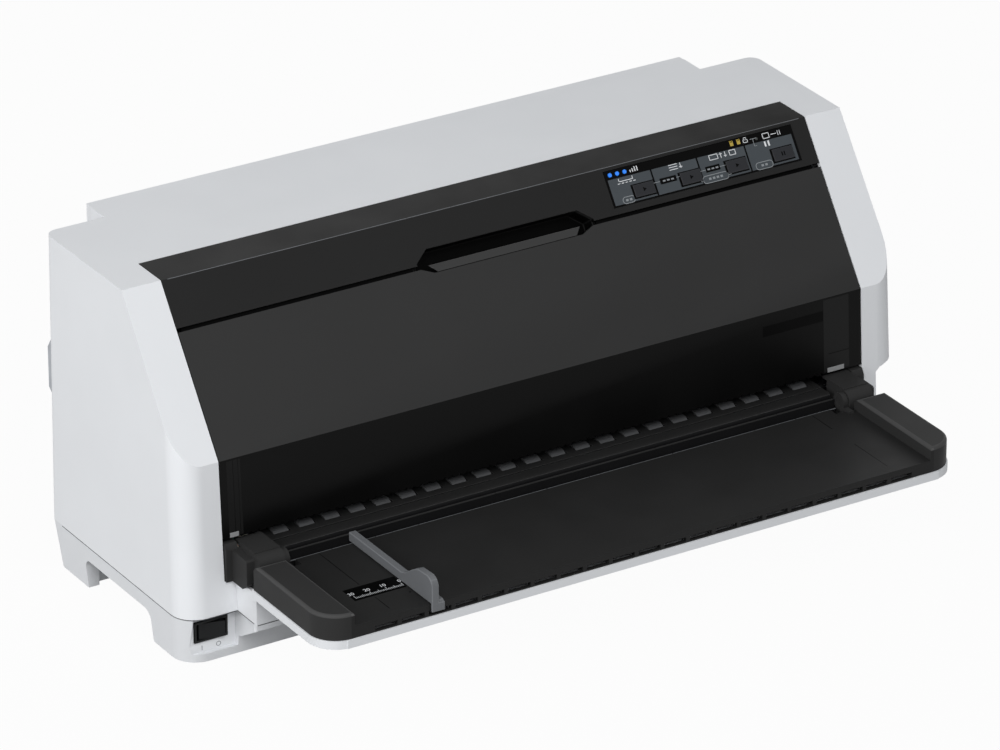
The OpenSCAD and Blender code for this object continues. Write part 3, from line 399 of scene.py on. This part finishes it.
def slab(bm, low, high, place=Matrix.Identity(4), round_plan=0.0, edge=0.0, segments=3):
    """A block between two corners, with rounded upright corners and softened edges, which
    is then moved to its place. It returns the block's vertices."""
    low, high = Vector(low), Vector(high)
    block = bmesh.ops.create_cube(bm, size=1.0, matrix=Matrix.Translation((low + high) / 2)
                                  @ Matrix.Diagonal((*(high - low), 1)))["verts"]
    if round_plan:
        upright = [e for e in edges_of(block)
                   if abs((e.verts[0].co - e.verts[1].co).z) > (high - low).z * 0.9]
        grown = bmesh.ops.bevel(bm, geom=upright, offset=round_plan, offset_type="OFFSET",
                                segments=segments, profile=0.5, affect="EDGES", material=-1)
        block = list(dict.fromkeys([v for v in block if v.is_valid] + grown["verts"]))
    if edge:
        rims = [e for e in edges_of(block)
                if len(e.link_faces) == 2 and e.calc_face_angle(0) > BLOCK_CORNER]
        before = set(bm.verts)
        soften(bm, rims, edge)
        block = [v for v in block if v.is_valid] + [v for v in bm.verts if v not in before]
    bmesh.ops.transform(bm, matrix=place, verts=block)
    return block


def add_blocks(name, body, made, slot, blocks, place=Matrix.Identity(4), **shape):
    """A piece of plain blocks, each between two corners."""
    bm = bmesh.new()
    for low, high in blocks:
        slab(bm, low, high, place, **shape)
    finish_piece(name, bm, body, made, slot=slot)


def numeral(bm, text, size, place):
    """A plain number or mark, 0.06 mm thick, added to a bmesh."""
    curve = bpy.data.curves.new("numeral", "FONT")
    curve.body, curve.size, curve.align_x, curve.extrude = text, size, "CENTER", 0.03
    maker = bpy.data.objects.new("numeral", curve)
    bpy.context.scene.collection.objects.link(maker)
    bpy.context.view_layer.update()
    drawn = maker.evaluated_get(bpy.context.evaluated_depsgraph_get())
    mesh = bpy.data.meshes.new_from_object(drawn)
    bpy.data.objects.remove(maker)
    mesh.transform(place)
    bm.from_mesh(mesh)
    bpy.data.meshes.remove(mesh)


# ---- case, band and cover ----

moulded_copy("upper_case", case_abs, 0.9, 1.6, 3)
moulded_copy("lower_case", base_abs, 0.7, 1.6, 3)

LEDGE_Y, LEDGE_DEPTH = -24, 1    # on the slope: the ledge starts below LEDGE_Y, this far in


def band_part(face):
    """The slope of the band; its flat top, which takes a painted reflection; and the ledge in the
    gap above the cover, painted near black as shade.
    """
    at = TO_SLOPE @ face.calc_center_median()
    return 1 if face.normal.z > 0.9 else 2 if at.z < -LEDGE_DEPTH and at.y < LEDGE_Y else 0


moulded_copy("front_band", band_abs, 0.6, 1.6, 3, sort=band_part,
             extra=(band_top_painted_reflection, cup_and_painted_shade_abs))


def below_bend(face):
    """The nearly upright face of the cover, under the foot of the slope, which is painted with the
    shade of the machine behind it.
    """
    return 1 if face.normal.y < -0.9 or face.calc_center_median().z < BEND_Z - 4 else 0


moulded_copy("front_cover", cover_slope, 0.5, 1.9, 2, sort=below_bend, extra=(cover_face_painted_shade,))

# On the cover's lower face: ribs near its ends lighten it, black sheets paint the shade in a slot,
# and a pale pad stands at each lower corner. Here z is out of the face, x across and y up from the
# bend
FACE_LEAN = 0.058    # how far the face leans back, over its height
ON_FACE = (Matrix.Translation((0, BEND_Y, BEND_Z))
           @ Matrix.Rotation(math.pi / 2 - math.atan(FACE_LEAN), 4, "X"))
RIB_FOOT, RIB_TOP, PAD_FOOT, PAD_TOP = -46.4, -1.2, -46.9, -44.1
SCOOP_FOOT, SCOOP_TOP = -34.5, -29    # the scoop under the notch, on the slope
add_blocks("cover_ribs", "cover", cover_rib, "smoked_plastic",
           [((left, RIB_FOOT, 0.01), (right, RIB_TOP, 0.05))
            for left, right in ((-208.6, -204.8), (-204.3, -201.6), (-201.2, -199.8),
                                (186.8, 204.4))], ON_FACE)
bm = bmesh.new()
slab(bm, (145, -14, 0.01), (186.6, -7.6, 0.05), ON_FACE)
slab(bm, (190, -35.6, 0.03), (204.4, -35.2, 0.08), ON_FACE)
# and painted shade, a black line in the crease along the foot of the scoop
slab(bm, (-48.9, SCOOP_FOOT, -0.7), (47.9, -33.75, -0.35), ON_SLOPE)
finish_piece("cover_slot_painted_shade", bm, "cover", panel_film, slot="smoked_plastic")
add_blocks("cover_pads", "cover", pad_abs, "smoked_plastic",
           [((left, PAD_FOOT, 0.03), (right, PAD_TOP, 0.3))
            for left, right in ((-208.4, -202.8), (189.2, 200.6))], ON_FACE, edge=0.1)

moulded_copy("finger_cup", cup_and_painted_shade_abs, 0.6, 1.6, 3)

# The scoop, which the fingertips pull: it narrows downwards and falls away upwards
bm = bmesh.new()
for v in slab(bm, (-50.6, SCOOP_FOOT, -1.4), (49.6, SCOOP_TOP, -0.4), edge=0.15):
    v.co.x *= 1 - 0.018 * (SCOOP_TOP - v.co.y)
    v.co.z += 0.28 * (SCOOP_FOOT - v.co.y)
bmesh.ops.transform(bm, matrix=ON_SLOPE, verts=bm.verts)
finish_piece("grip_scoop", bm, "cover", cover_scoop, slot="smoked_plastic")

moulded_copy("rubber_feet", foot_rubber, 0.4)
moulded_copy("control_label", panel_film, 0.1, 3)
moulded_copy("control_board", board_green, 0.15)

# A dark grey band that paints the shadow in the groove where the two shells meet. It goes round
# the case and round the chin, and only its outer face is made
SEAM_SHADOW_FOOT, SEAM_SHADOW_TOP = 30.3, 30.8
bm = bmesh.new()
slab(bm, (-239.99, -81.49, SEAM_SHADOW_FOOT), (239.99, 74.99, SEAM_SHADOW_TOP), round_plan=15, segments=8)
slab(bm, (-205.99, -103, SEAM_SHADOW_FOOT), (205.99, -70, SEAM_SHADOW_TOP), round_plan=0.6)
bmesh.ops.delete(bm, geom=[f for f in bm.faces if abs(f.normal.z) > 0.9], context="FACES_ONLY")
finish_piece("shell_seam_painted_shadow", bm, "chassis", seam_painted_shadow, slot="foot_rubber")

# ---- control panel ----

BUTTON_X, BUTTON_Y = (96, 127.9, 159.3, 191.2), -17.8
CAP_HALF, CAP_FOOT, CAP_TOP = 7.15, -21.7, -13.9
RINGS = ((80.4, -23.6, 88.7, -19.4), (135, -24, 152.4, -19.3), (171.3, -23.9, 183.1, -19.4))
BOXES = ((107.6, 118.6), (138.7, 148.4))


def around_cap(bm, x, left, bottom, right, top, low, high):
    """A flat sheet with a hole for the cap at x."""
    for x0, y0, x1, y1 in ((left, CAP_TOP, right, top), (left, bottom, right, CAP_FOOT),
                           (left, CAP_FOOT, x - CAP_HALF, CAP_TOP),
                           (x + CAP_HALF, CAP_FOOT, right, CAP_TOP)):
        if x1 > x0:
            slab(bm, (x0, y0, low), (x1, y1, high), ON_SLOPE)


# Four grey fields on the black film, one to a button, and grey rounds in the rings
bm = bmesh.new()
for x, left, right in zip(BUTTON_X, (75, 104.5, 135.7, 168.6), (103.4, 134.6, 167.5, 200.6)):
    around_cap(bm, x, left, -23.3, right, -7.9, 0.2, 0.28)
for left, bottom, right, top in ((80.8, -23.2, 88.3, -19.8), (135.4, -23.6, 152, -19.7),
                                 (171.7, -23.5, 182.7, -19.8)):
    slab(bm, (left, bottom, 0.28), (right, top, 0.35), ON_SLOPE, 1.6, segments=6)
finish_piece("panel_fields", bm, "chassis", field_film, slot="label_film")
# A pale grey strip along the fold at the top of the band: a painted highlight
add_blocks("fold_painted_highlight", "chassis", guide_and_painted_highlight_abs, "band_plastic",
           [((-209, -0.45, 0), (209, -0.1, 0.04))], ON_SLOPE)


def mark(bm, *corners):
    """Flat bars of ink, each from its lower left corner to its upper right one."""
    for x0, y0, x1, y1 in corners:
        slab(bm, (x0, y0, 0.26), (x1, y1, 0.36), ON_SLOPE)


def outline(bm, x0, y0, x1, y1, thick=0.4):
    """A thin frame of ink."""
    mark(bm, (x0, y0, x1, y0 + thick), (x0, y1 - thick, x1, y1), (x0, y0, x0 + thick, y1),
         (x1 - thick, y0, x1, y1))


# Plain marks beside the buttons and lamps
bm = bmesh.new()
# Torn edge
mark(bm, *((80.6 + 2.6 * k, -11.6, 82.2 + 2.6 * k, -11.2) for k in range(5)))
mark(bm, (81.6, -10.4, 91.2, -10), (81.6, -10.4, 82, -8.4), (90.8, -10.4, 91.2, -8.4))
# Line feed
mark(bm, *((115.8, -11.2 + 1.4 * k, 121.6, -10.8 + 1.4 * k) for k in range(3)))
mark(bm, (123.4, -11.2, 123.8, -8), (122.5, -10.6, 124.7, -10.2))
# Sheet going in and out
outline(bm, 143.2, -11.4, 149.2, -8.2)
mark(bm, (151, -11.4, 151.4, -8.2), (150.2, -9.2, 152.2, -8.8), (154, -11.4, 154.4, -8.2),
     (153.2, -10.8, 155.2, -10.4))
outline(bm, 157, -11.4, 161.4, -8.2)
# Pause, and the sheet and lock of the strip above
mark(bm, (181.4, -11.4, 182.5, -8.4), (183.8, -11.4, 184.9, -8.4))
outline(bm, 181.6, -6.9, 186.2, -3.6)
mark(bm, (187.4, -5.5, 191, -5.1), (192, -6.6, 192.4, -4), (193.4, -6.6, 193.8, -4))
outline(bm, 168.2, -6.4, 171.4, -4.4)
outline(bm, 168.9, -4.8, 170.7, -3.2, 0.3)
# Four bars that grow, beside the lamps
mark(bm, (90.6, -6.4, 91.2, -5), (92.2, -6.4, 92.8, -4.3), (93.8, -6.4, 94.4, -3.6),
     (95.4, -6.4, 96, -3.6))
finish_piece("panel_marks", bm, "chassis", white_ink, slot="label_film")

# Grey rings round the second meanings, the lines that lead to them, and their black boxes
bm = bmesh.new()
for left, bottom, right, top in RINGS:
    slab(bm, (left, bottom, 0.26), (right, top, 0.31), ON_SLOPE, 2, segments=6)
    middle, steps = (left + right) / 2, int((right - left) / 4)
    for k in range(steps):
        at = middle + (k - (steps - 1) / 2) * 2.6
        slab(bm, (at - 0.8, -22.2, 0.34), (at + 0.8, -20.9, 0.4), ON_SLOPE)
mark(bm, (103, -16, 108, -15.7), (118.4, -16, 122, -15.7), (135, -16.2, 139, -15.9),
     (148.2, -16.2, 153.4, -15.9), (133.6, -22, 135.2, -21.7), (152.2, -22, 154.4, -21.7),
     (173, -5.3, 177.4, -5), (174.7, -9.7, 175, -5), (174.7, -9.7, 176.4, -9.4))
finish_piece("panel_rings", bm, "chassis", grey_ink, slot="label_film")
bm = bmesh.new()
for left, right in BOXES:
    slab(bm, (left, -17.7, 0.28), (right, -14.3, 0.38), ON_SLOPE)
# Black frames round the caps, wider at the left and the foot: a painted shadow of the raised caps
for x in BUTTON_X:
    around_cap(bm, x, x - 7.9, -22.3, x + 7.4, -13.6, 0.24, 0.34)
finish_piece("panel_boxes_and_cap_shadows", bm, "chassis", panel_film, slot="label_film")
bm = bmesh.new()
for left, right in BOXES:
    for k in range(3):
        at = (left + right) / 2 + (k - 1) * 2.8
        slab(bm, (at - 0.9, -16.5, 0.36), (at + 0.9, -15.6, 0.42), ON_SLOPE)
finish_piece("panel_box_marks", bm, "chassis", grey_ink, slot="label_film")

# Two yellow pilot lamps in the strip, each with three short teeth over it
bm = bmesh.new()
for x in (160.4, 165.2):
    slab(bm, (x - 1.1, -6.3, 0.25), (x + 1.1, -4.4, 0.4), ON_SLOPE, 0.3)
    for side in (-1.1, -0.2, 0.7):
        slab(bm, (x + side, -4.5, 0.25), (x + side + 0.4, -3.2, 0.38), ON_SLOPE)
finish_piece("pilot_lamps", bm, "chassis", lamp_yellow, slot="label_film")


LIT_LEFT_OF, STRIP_FOOT = 95, -7


def lit(face):
    """The three lamps at the left end of the strip glow, and the others are off."""
    at = TO_SLOPE @ face.calc_center_median()
    return 0 if at.x < LIT_LEFT_OF and at.y > STRIP_FOOT else 1


moulded_copy("status_leds", lamp_blue, 0.2, 5, sort=lit, extra=(lamp_off,))


def cap_side(face):
    """The sides of the caps are painted black as shade, so that their tops stand a little lighter.
    """
    return 1 if (TO_SLOPE.to_3x3() @ face.normal).z < 0.6 else 0


for node, x in zip(("tear_off_button", "line_feed_button", "load_button", "pause_button"),
                   BUTTON_X):
    moulded_copy(node, button_abs, 0.45, 1, 3, sort=cap_side, extra=(panel_film,))
    # A small black symbol printed on the cap
    bm = bmesh.new()
    if node == "pause_button":
        for k in (-1.1, 0.5):
            slab(bm, (x + k, BUTTON_Y - 1.2, 0.9), (x + k + 0.7, BUTTON_Y + 1.2, 1.12), ON_SLOPE)
    else:
        turned = Matrix.Translation((x, BUTTON_Y, 1)) @ Matrix.Rotation(-math.pi / 2, 4, "Z")
        bmesh.ops.create_cone(bm, cap_ends=True, segments=3, radius1=1.4, radius2=1.4,
                              depth=0.24, matrix=ON_SLOPE @ turned)
    finish_piece(node + "_symbol", bm, node, panel_film, slot="label_film")

moulded_copy("switch_body", rocker_nylon, 0.3)
moulded_copy("power_rocker", rocker_nylon, 0.5, 1, 3)
bm = bmesh.new()
for text, x in (("I", -224.9), ("O", -214.4)):
    upright = Matrix.Translation((x, -74.02, 7.6)) @ Matrix.Rotation(math.pi / 2, 4, "X")
    numeral(bm, text, 4.2, upright)
finish_piece("switch_marks", bm, "chassis", grey_ink, slot="rocker_plastic")

# ---- tray ----

PLATE_Z, ARM_FROM_Z, ARM_REAR_Y, PLATE_HALF = 62.5, 70, -105.5, 150


def plate(face):
    """The paper plate between the arms has a smoother, blacker texture than they do."""
    at = face.calc_center_median()
    return 1 if at.z < PLATE_Z + 0.1 and face.normal.z > 0.5 or abs(at.x) < PLATE_HALF else 0


def arm_top(edge):
    """The top edges of the two arms."""
    return min(v.co.z for v in edge.verts) > ARM_FROM_Z \
        and max(v.co.y for v in edge.verts) < ARM_REAR_Y


moulded_copy("paper_tray", tray_abs, 0.4, 1.2, 2, sort=plate, extra=(plate_abs,),
             crown=arm_top, crown_width=1.8)
moulded_copy("tray_shell", base_abs, 0.9, 1.2, 3)
moulded_copy("tray_scale", scale_film, 0.1, 3)
moulded_copy("edge_guide", guide_and_painted_highlight_abs, 0.7, 0.9, 3)
for node in ("tray_bracket_left", "tray_bracket_right"):
    moulded_copy(node, tray_abs, 0.8, 0.7, 3)

# The millimetre scale, from 0 at the right to 30 at the left
SCALE_ZERO_X, SCALE_Y = -143.4, -156.8
bm = bmesh.new()
for k in range(31):
    x = SCALE_ZERO_X - k
    tall = 3.4 if k % 10 == 0 else 2.6 if k % 5 == 0 else 1.7
    slab(bm, (x - 0.14, SCALE_Y, PLATE_Z + 0.29), (x + 0.14, SCALE_Y + tall, PLATE_Z + 0.34))
for k in (0, 10, 20, 30):
    x = SCALE_ZERO_X - k + (0.6 if k == 0 else 0)
    numeral(bm, str(k), 4.0, Matrix.Translation((x - 0.2, SCALE_Y + 4.6, PLATE_Z + 0.32)))
finish_piece("scale_marks", bm, "tray", white_ink, slot="scale_film")

# Joints between the plate's mouldings, and a black plug in the pin hole beside the scale, which
# paints the shade in it
bm = bmesh.new()
for x, y0, y1 in ((-163.6, -142.8, -99.3), (-163.6, -175.5, -160.2), (165, -175.5, -142.4),
                  (165, -120, -99.3)):
    slab(bm, (x - 0.2, y0, PLATE_Z - 0.5), (x + 0.2, y1, PLATE_Z + 0.03))
# The black plug is painted shade in the pin hole
bmesh.ops.create_cone(bm, cap_ends=True, segments=16, radius1=0.6, radius2=0.6, depth=1.03,
                      matrix=Matrix.Translation((-144.3, -164.8, PLATE_Z - 0.485)))
finish_piece("plate_joints_and_hole_shade", bm, "tray", panel_film, slot="tray_plastic")

# A pale grey strip painted as a highlight along the plate's rear edge, and the top of the rail
# behind it, in short lengths
LENGTH_STEP = 28.1
add_blocks("plate_edge_painted_highlight", "tray", guide_and_painted_highlight_abs, "tray_plastic",
           [((-182.6 + LENGTH_STEP * k, -98.4, PLATE_Z - 0.4),
             (-155.1 + LENGTH_STEP * k, -97.95, PLATE_Z + 0.02)) for k in range(13)])
add_blocks("rail_edge", "chassis", tray_abs, "dark_plastic",
           [((left, -94.3, 65.9), (right, -93.1, 66.28))
            for left, right in ((-182.8, -46), (-45.4, 61), (61.6, 144), (144.6, 182.8))])

# ---- paper path ----

ROLLER_Z, FRONT_Y, REAR_Y, PINCH_Z = 61.5, -70, 12, 73.8
DRIVE_SIDE_X = -183    # the gears and pulleys are to the left of this


def roller_parts(y, z, shaft):
    """Shaft, rubber sleeves, then the gear and pulley at the left end."""
    def test(face):
        reach = max(math.hypot(v.co.y - y, v.co.z - z) for v in face.verts)
        if reach > shaft and face.calc_center_median().x < DRIVE_SIDE_X:
            return 2
        return 0 if reach < shaft else 1
    return test


for node, y, z, shaft in (("front_feed_roller", FRONT_Y, ROLLER_Z, 4.6),
                          ("rear_feed_roller", REAR_Y, ROLLER_Z, 4.6),
                          ("pinch_roller", REAR_Y, PINCH_Z, 3.2)):
    moulded_copy(node, ground_shaft, 0.3, 1, sort=roller_parts(y, z, shaft),
                 extra=(roller_rubber, nylon_natural))
moulded_copy("platen", roller_rubber, 0.6)
moulded_copy("entry_guide", dark_abs, 0.3, sort=lambda face: int(face.normal.z > 0.7),
             extra=(plate_abs,))
moulded_copy("paper_deck", dark_abs, 0.4, 1)
for node in ("side_frame_left", "side_frame_right", "cross_beam", "tractor_frame"):
    moulded_copy(node, zinc_sheet, 0.25)
for node in ("idler_gear", "shaft_bushes"):
    moulded_copy(node, nylon_natural, 0.2)
moulded_copy("motor_pinion", brass, 0.15)
moulded_copy("carriage_shaft", ground_shaft, 0.6, 0.5)
for node in ("carriage_belt", "tractor_belt"):
    moulded_copy(node, belt_rubber, 0.2)
for node in ("feed_motor", "carriage_motor"):
    moulded_copy(node, enamel, 0.8, 1)

# ---- carriage and ribbon ----

HEAD_NOSE_TOP = 86.5    # the ground steel nose of the print head ends here


def head_nose(face):
    """The print head's steel nose, under its enamelled body."""
    return 1 if max(v.co.z for v in face.verts) < HEAD_NOSE_TOP else 0


moulded_copy("carriage", dark_abs, 0.7)
moulded_copy("print_head", enamel, 0.4, sort=head_nose, extra=(ground_shaft,))
moulded_copy("motor_pulley", brass, 0.3, 0.7)
moulded_copy("belt_idler", nylon_natural, 0.3, 0.7)
moulded_copy("ribbon_cartridge", cartridge_styrene, 0.9)
moulded_copy("ink_ribbon", ribbon_cloth, 0.1)
moulded_copy("ribbon_knob", tractor_abs, 0.4, 0.7)

# ---- electrics ----

BOARD_TOP = 28.6


def board_parts(face):
    """The board itself, then the parts that stand on it."""
    heights = [v.co.z for v in face.verts]
    return 1 if min(heights) > BOARD_TOP - 0.2 and max(heights) > BOARD_TOP + 0.3 else 0


CORE_REAR, CORE_FRONT = -7.99, -44.01


def windings(face):
    """The windings, which stand out of the transformer's core at both ends."""
    return 0 if CORE_FRONT < face.calc_center_median().y < CORE_REAR else 1


moulded_copy("main_board", board_green, 0.2, sort=board_parts, extra=(dark_abs,))
moulded_copy("power_board", board_brown, 0.3, sort=board_parts, extra=(rocker_nylon,))
moulded_copy("transformer", enamel, 0.5, sort=windings, extra=(copper,))
moulded_copy("mains_inlet", rocker_nylon, 0.5)
moulded_copy("port_panel", zinc_sheet, 0.3)
moulded_copy("case_screws", zinc_sheet, 0.2, 0.8)

# Pins in the mains inlet, and the tongues, contacts and latches of the two data sockets
add_blocks("inlet_pins", "chassis", ground_shaft, "steel_shaft",
           [((x - 1, 59, z - 2), (x + 1, 72, z + 2))
            for x, z in ((219, 59.5), (212.8, 53.5), (225.2, 53.5))], edge=0.4)
bm = bmesh.new()
slab(bm, (-214.6, 69, 72.5), (-211.4, 75.4, 125.5), edge=0.4)
slab(bm, (-215.4, 65, 56.4), (-209.6, 73.4, 58.6), edge=0.3)
finish_piece("socket_tongues", bm, "chassis", dark_abs, slot="dark_plastic")
CONTACT_STEP = 2.85
add_blocks("socket_contacts", "chassis", brass, "brass",
           [((x - 0.25, 69.5, 74.2 + CONTACT_STEP * k), (x + 0.25, 75.2, 75.4 + CONTACT_STEP * k))
            for k in range(18) for x in (-214.7, -211.3)])
add_blocks("socket_latches", "chassis", ground_shaft, "steel_shaft",
           [((-218, 76, foot), (-208, 80.5, foot + 4.2)) for foot in (64.4, 129.4)], edge=0.8)

# ---- tractor ----

moulded_copy("tractor_rod", ground_shaft, 0.5, 0.4)
moulded_copy("tractor_shaft", ground_shaft, 0.3)
for side in ("left", "right"):
    moulded_copy("tractor_" + side, tractor_abs, 0.7)
    moulded_copy("sprocket_" + side, nylon_natural, 0.3, 0.7)
    moulded_copy("tractor_flap_" + side, tractor_abs, 0.4)

# ---- floor, light and camera ----

FLOOR_WHITE, FLOOR_HALF, FLOOR_DROP = 0.965, 6.0, 0.0003


def seen_plainly(tree):
    """1 for rays that show the floor or the world itself, also in gloss or through glass."""
    ray = add(tree, "LightPath")
    seen = add(tree, "Math", {"operation": "MAXIMUM"}, i0=ray.outputs["Is Camera Ray"],
               i1=ray.outputs["Is Glossy Ray"])
    return add(tree, "Math", {"operation": "MAXIMUM"}, i0=seen.outputs[0],
               i1=ray.outputs["Is Transmission Ray"]).outputs[0]


# White card that still takes a soft shadow
white = bpy.data.materials.new("floor_card")
tree = empty_tree(white)
card = add(tree, "BsdfDiffuse", Color=colour("#a8a8a8"))
glow = add(tree, "Emission", Color=(1, 1, 1, 1), Strength=1.0)
share = add(tree, "Math", {"operation": "MULTIPLY"}, i0=seen_plainly(tree), i1=FLOOR_WHITE)
mixed = add(tree, "MixShader", i0=share.outputs[0], i1=card.outputs[0], i2=glow.outputs[0])
add(tree, "OutputMaterial", Surface=mixed.outputs[0])
bm = bmesh.new()
bmesh.ops.create_grid(bm, x_segments=1, y_segments=1, size=FLOOR_HALF)
bmesh.ops.translate(bm, verts=bm.verts, vec=(0, 0, -FLOOR_DROP))
mesh = bpy.data.meshes.new("floor")
bm.to_mesh(mesh)
bm.free()
mesh.materials.append(white)
floor = bpy.data.objects.new("floor", mesh)
bpy.context.scene.collection.objects.link(floor)

world = bpy.data.worlds.new("studio")
bpy.context.scene.world = world
tree = empty_tree(world)
fill = add(tree, "Background", Color=(0.97, 0.985, 1.0, 1), Strength=0.31)
backdrop = add(tree, "Background", Color=(1, 1, 1, 1), Strength=1.0)
both = add(tree, "MixShader", i0=seen_plainly(tree), i1=fill.outputs[0], i2=backdrop.outputs[0])
add(tree, "OutputWorld", Surface=both.outputs[0])


def softbox(name, at, target, power, width, height):
    """A large soft lamp, outside the view."""
    lamp = bpy.data.lights.new(name, "AREA")
    lamp.shape, lamp.size, lamp.size_y, lamp.energy = "RECTANGLE", width, height, power
    made = bpy.data.objects.new(name, lamp)
    made.location = at
    made.rotation_euler = (Vector(target) - Vector(at)).to_track_quat("-Z", "Y").to_euler()
    bpy.context.scene.collection.objects.link(made)


softbox("key_above_front", (-0.95, -1.85, 1.8), (0, -0.05, 0.1), 40, 1.6, 1.2)
softbox("side_left", (-2.6, -0.3, 1.0), (0, 0, 0.1), 32, 1.6, 1.4)

# The camera looks down 26 degrees from 32 degrees left of the front
AZIMUTH, ELEVATION, ROLL = (math.radians(a) for a in (-31.573, 25.883, -0.061))
back = Vector((math.sin(AZIMUTH) * math.cos(ELEVATION), -math.cos(AZIMUTH) * math.cos(ELEVATION),
               math.sin(ELEVATION)))
right = Vector((math.cos(AZIMUTH), math.sin(AZIMUTH), 0))
up = back.cross(right)
turned_right = math.cos(ROLL) * right + math.sin(ROLL) * up
turned_up = math.cos(ROLL) * up - math.sin(ROLL) * right
lens = bpy.data.cameras.new("camera")
lens.sensor_fit, lens.sensor_width, lens.lens = "HORIZONTAL", 36, 243.085
lens.clip_start, lens.clip_end = 0.1, 60
camera = bpy.data.objects.new("camera", lens)
camera.matrix_world = Matrix((turned_right, turned_up, back)).transposed().to_4x4()
camera.location = (-1.81561, -2.97872, 1.78217)
bpy.context.scene.collection.objects.link(camera)
bpy.context.scene.camera = camera
bpy.context.scene.view_settings.view_transform = "Standard"
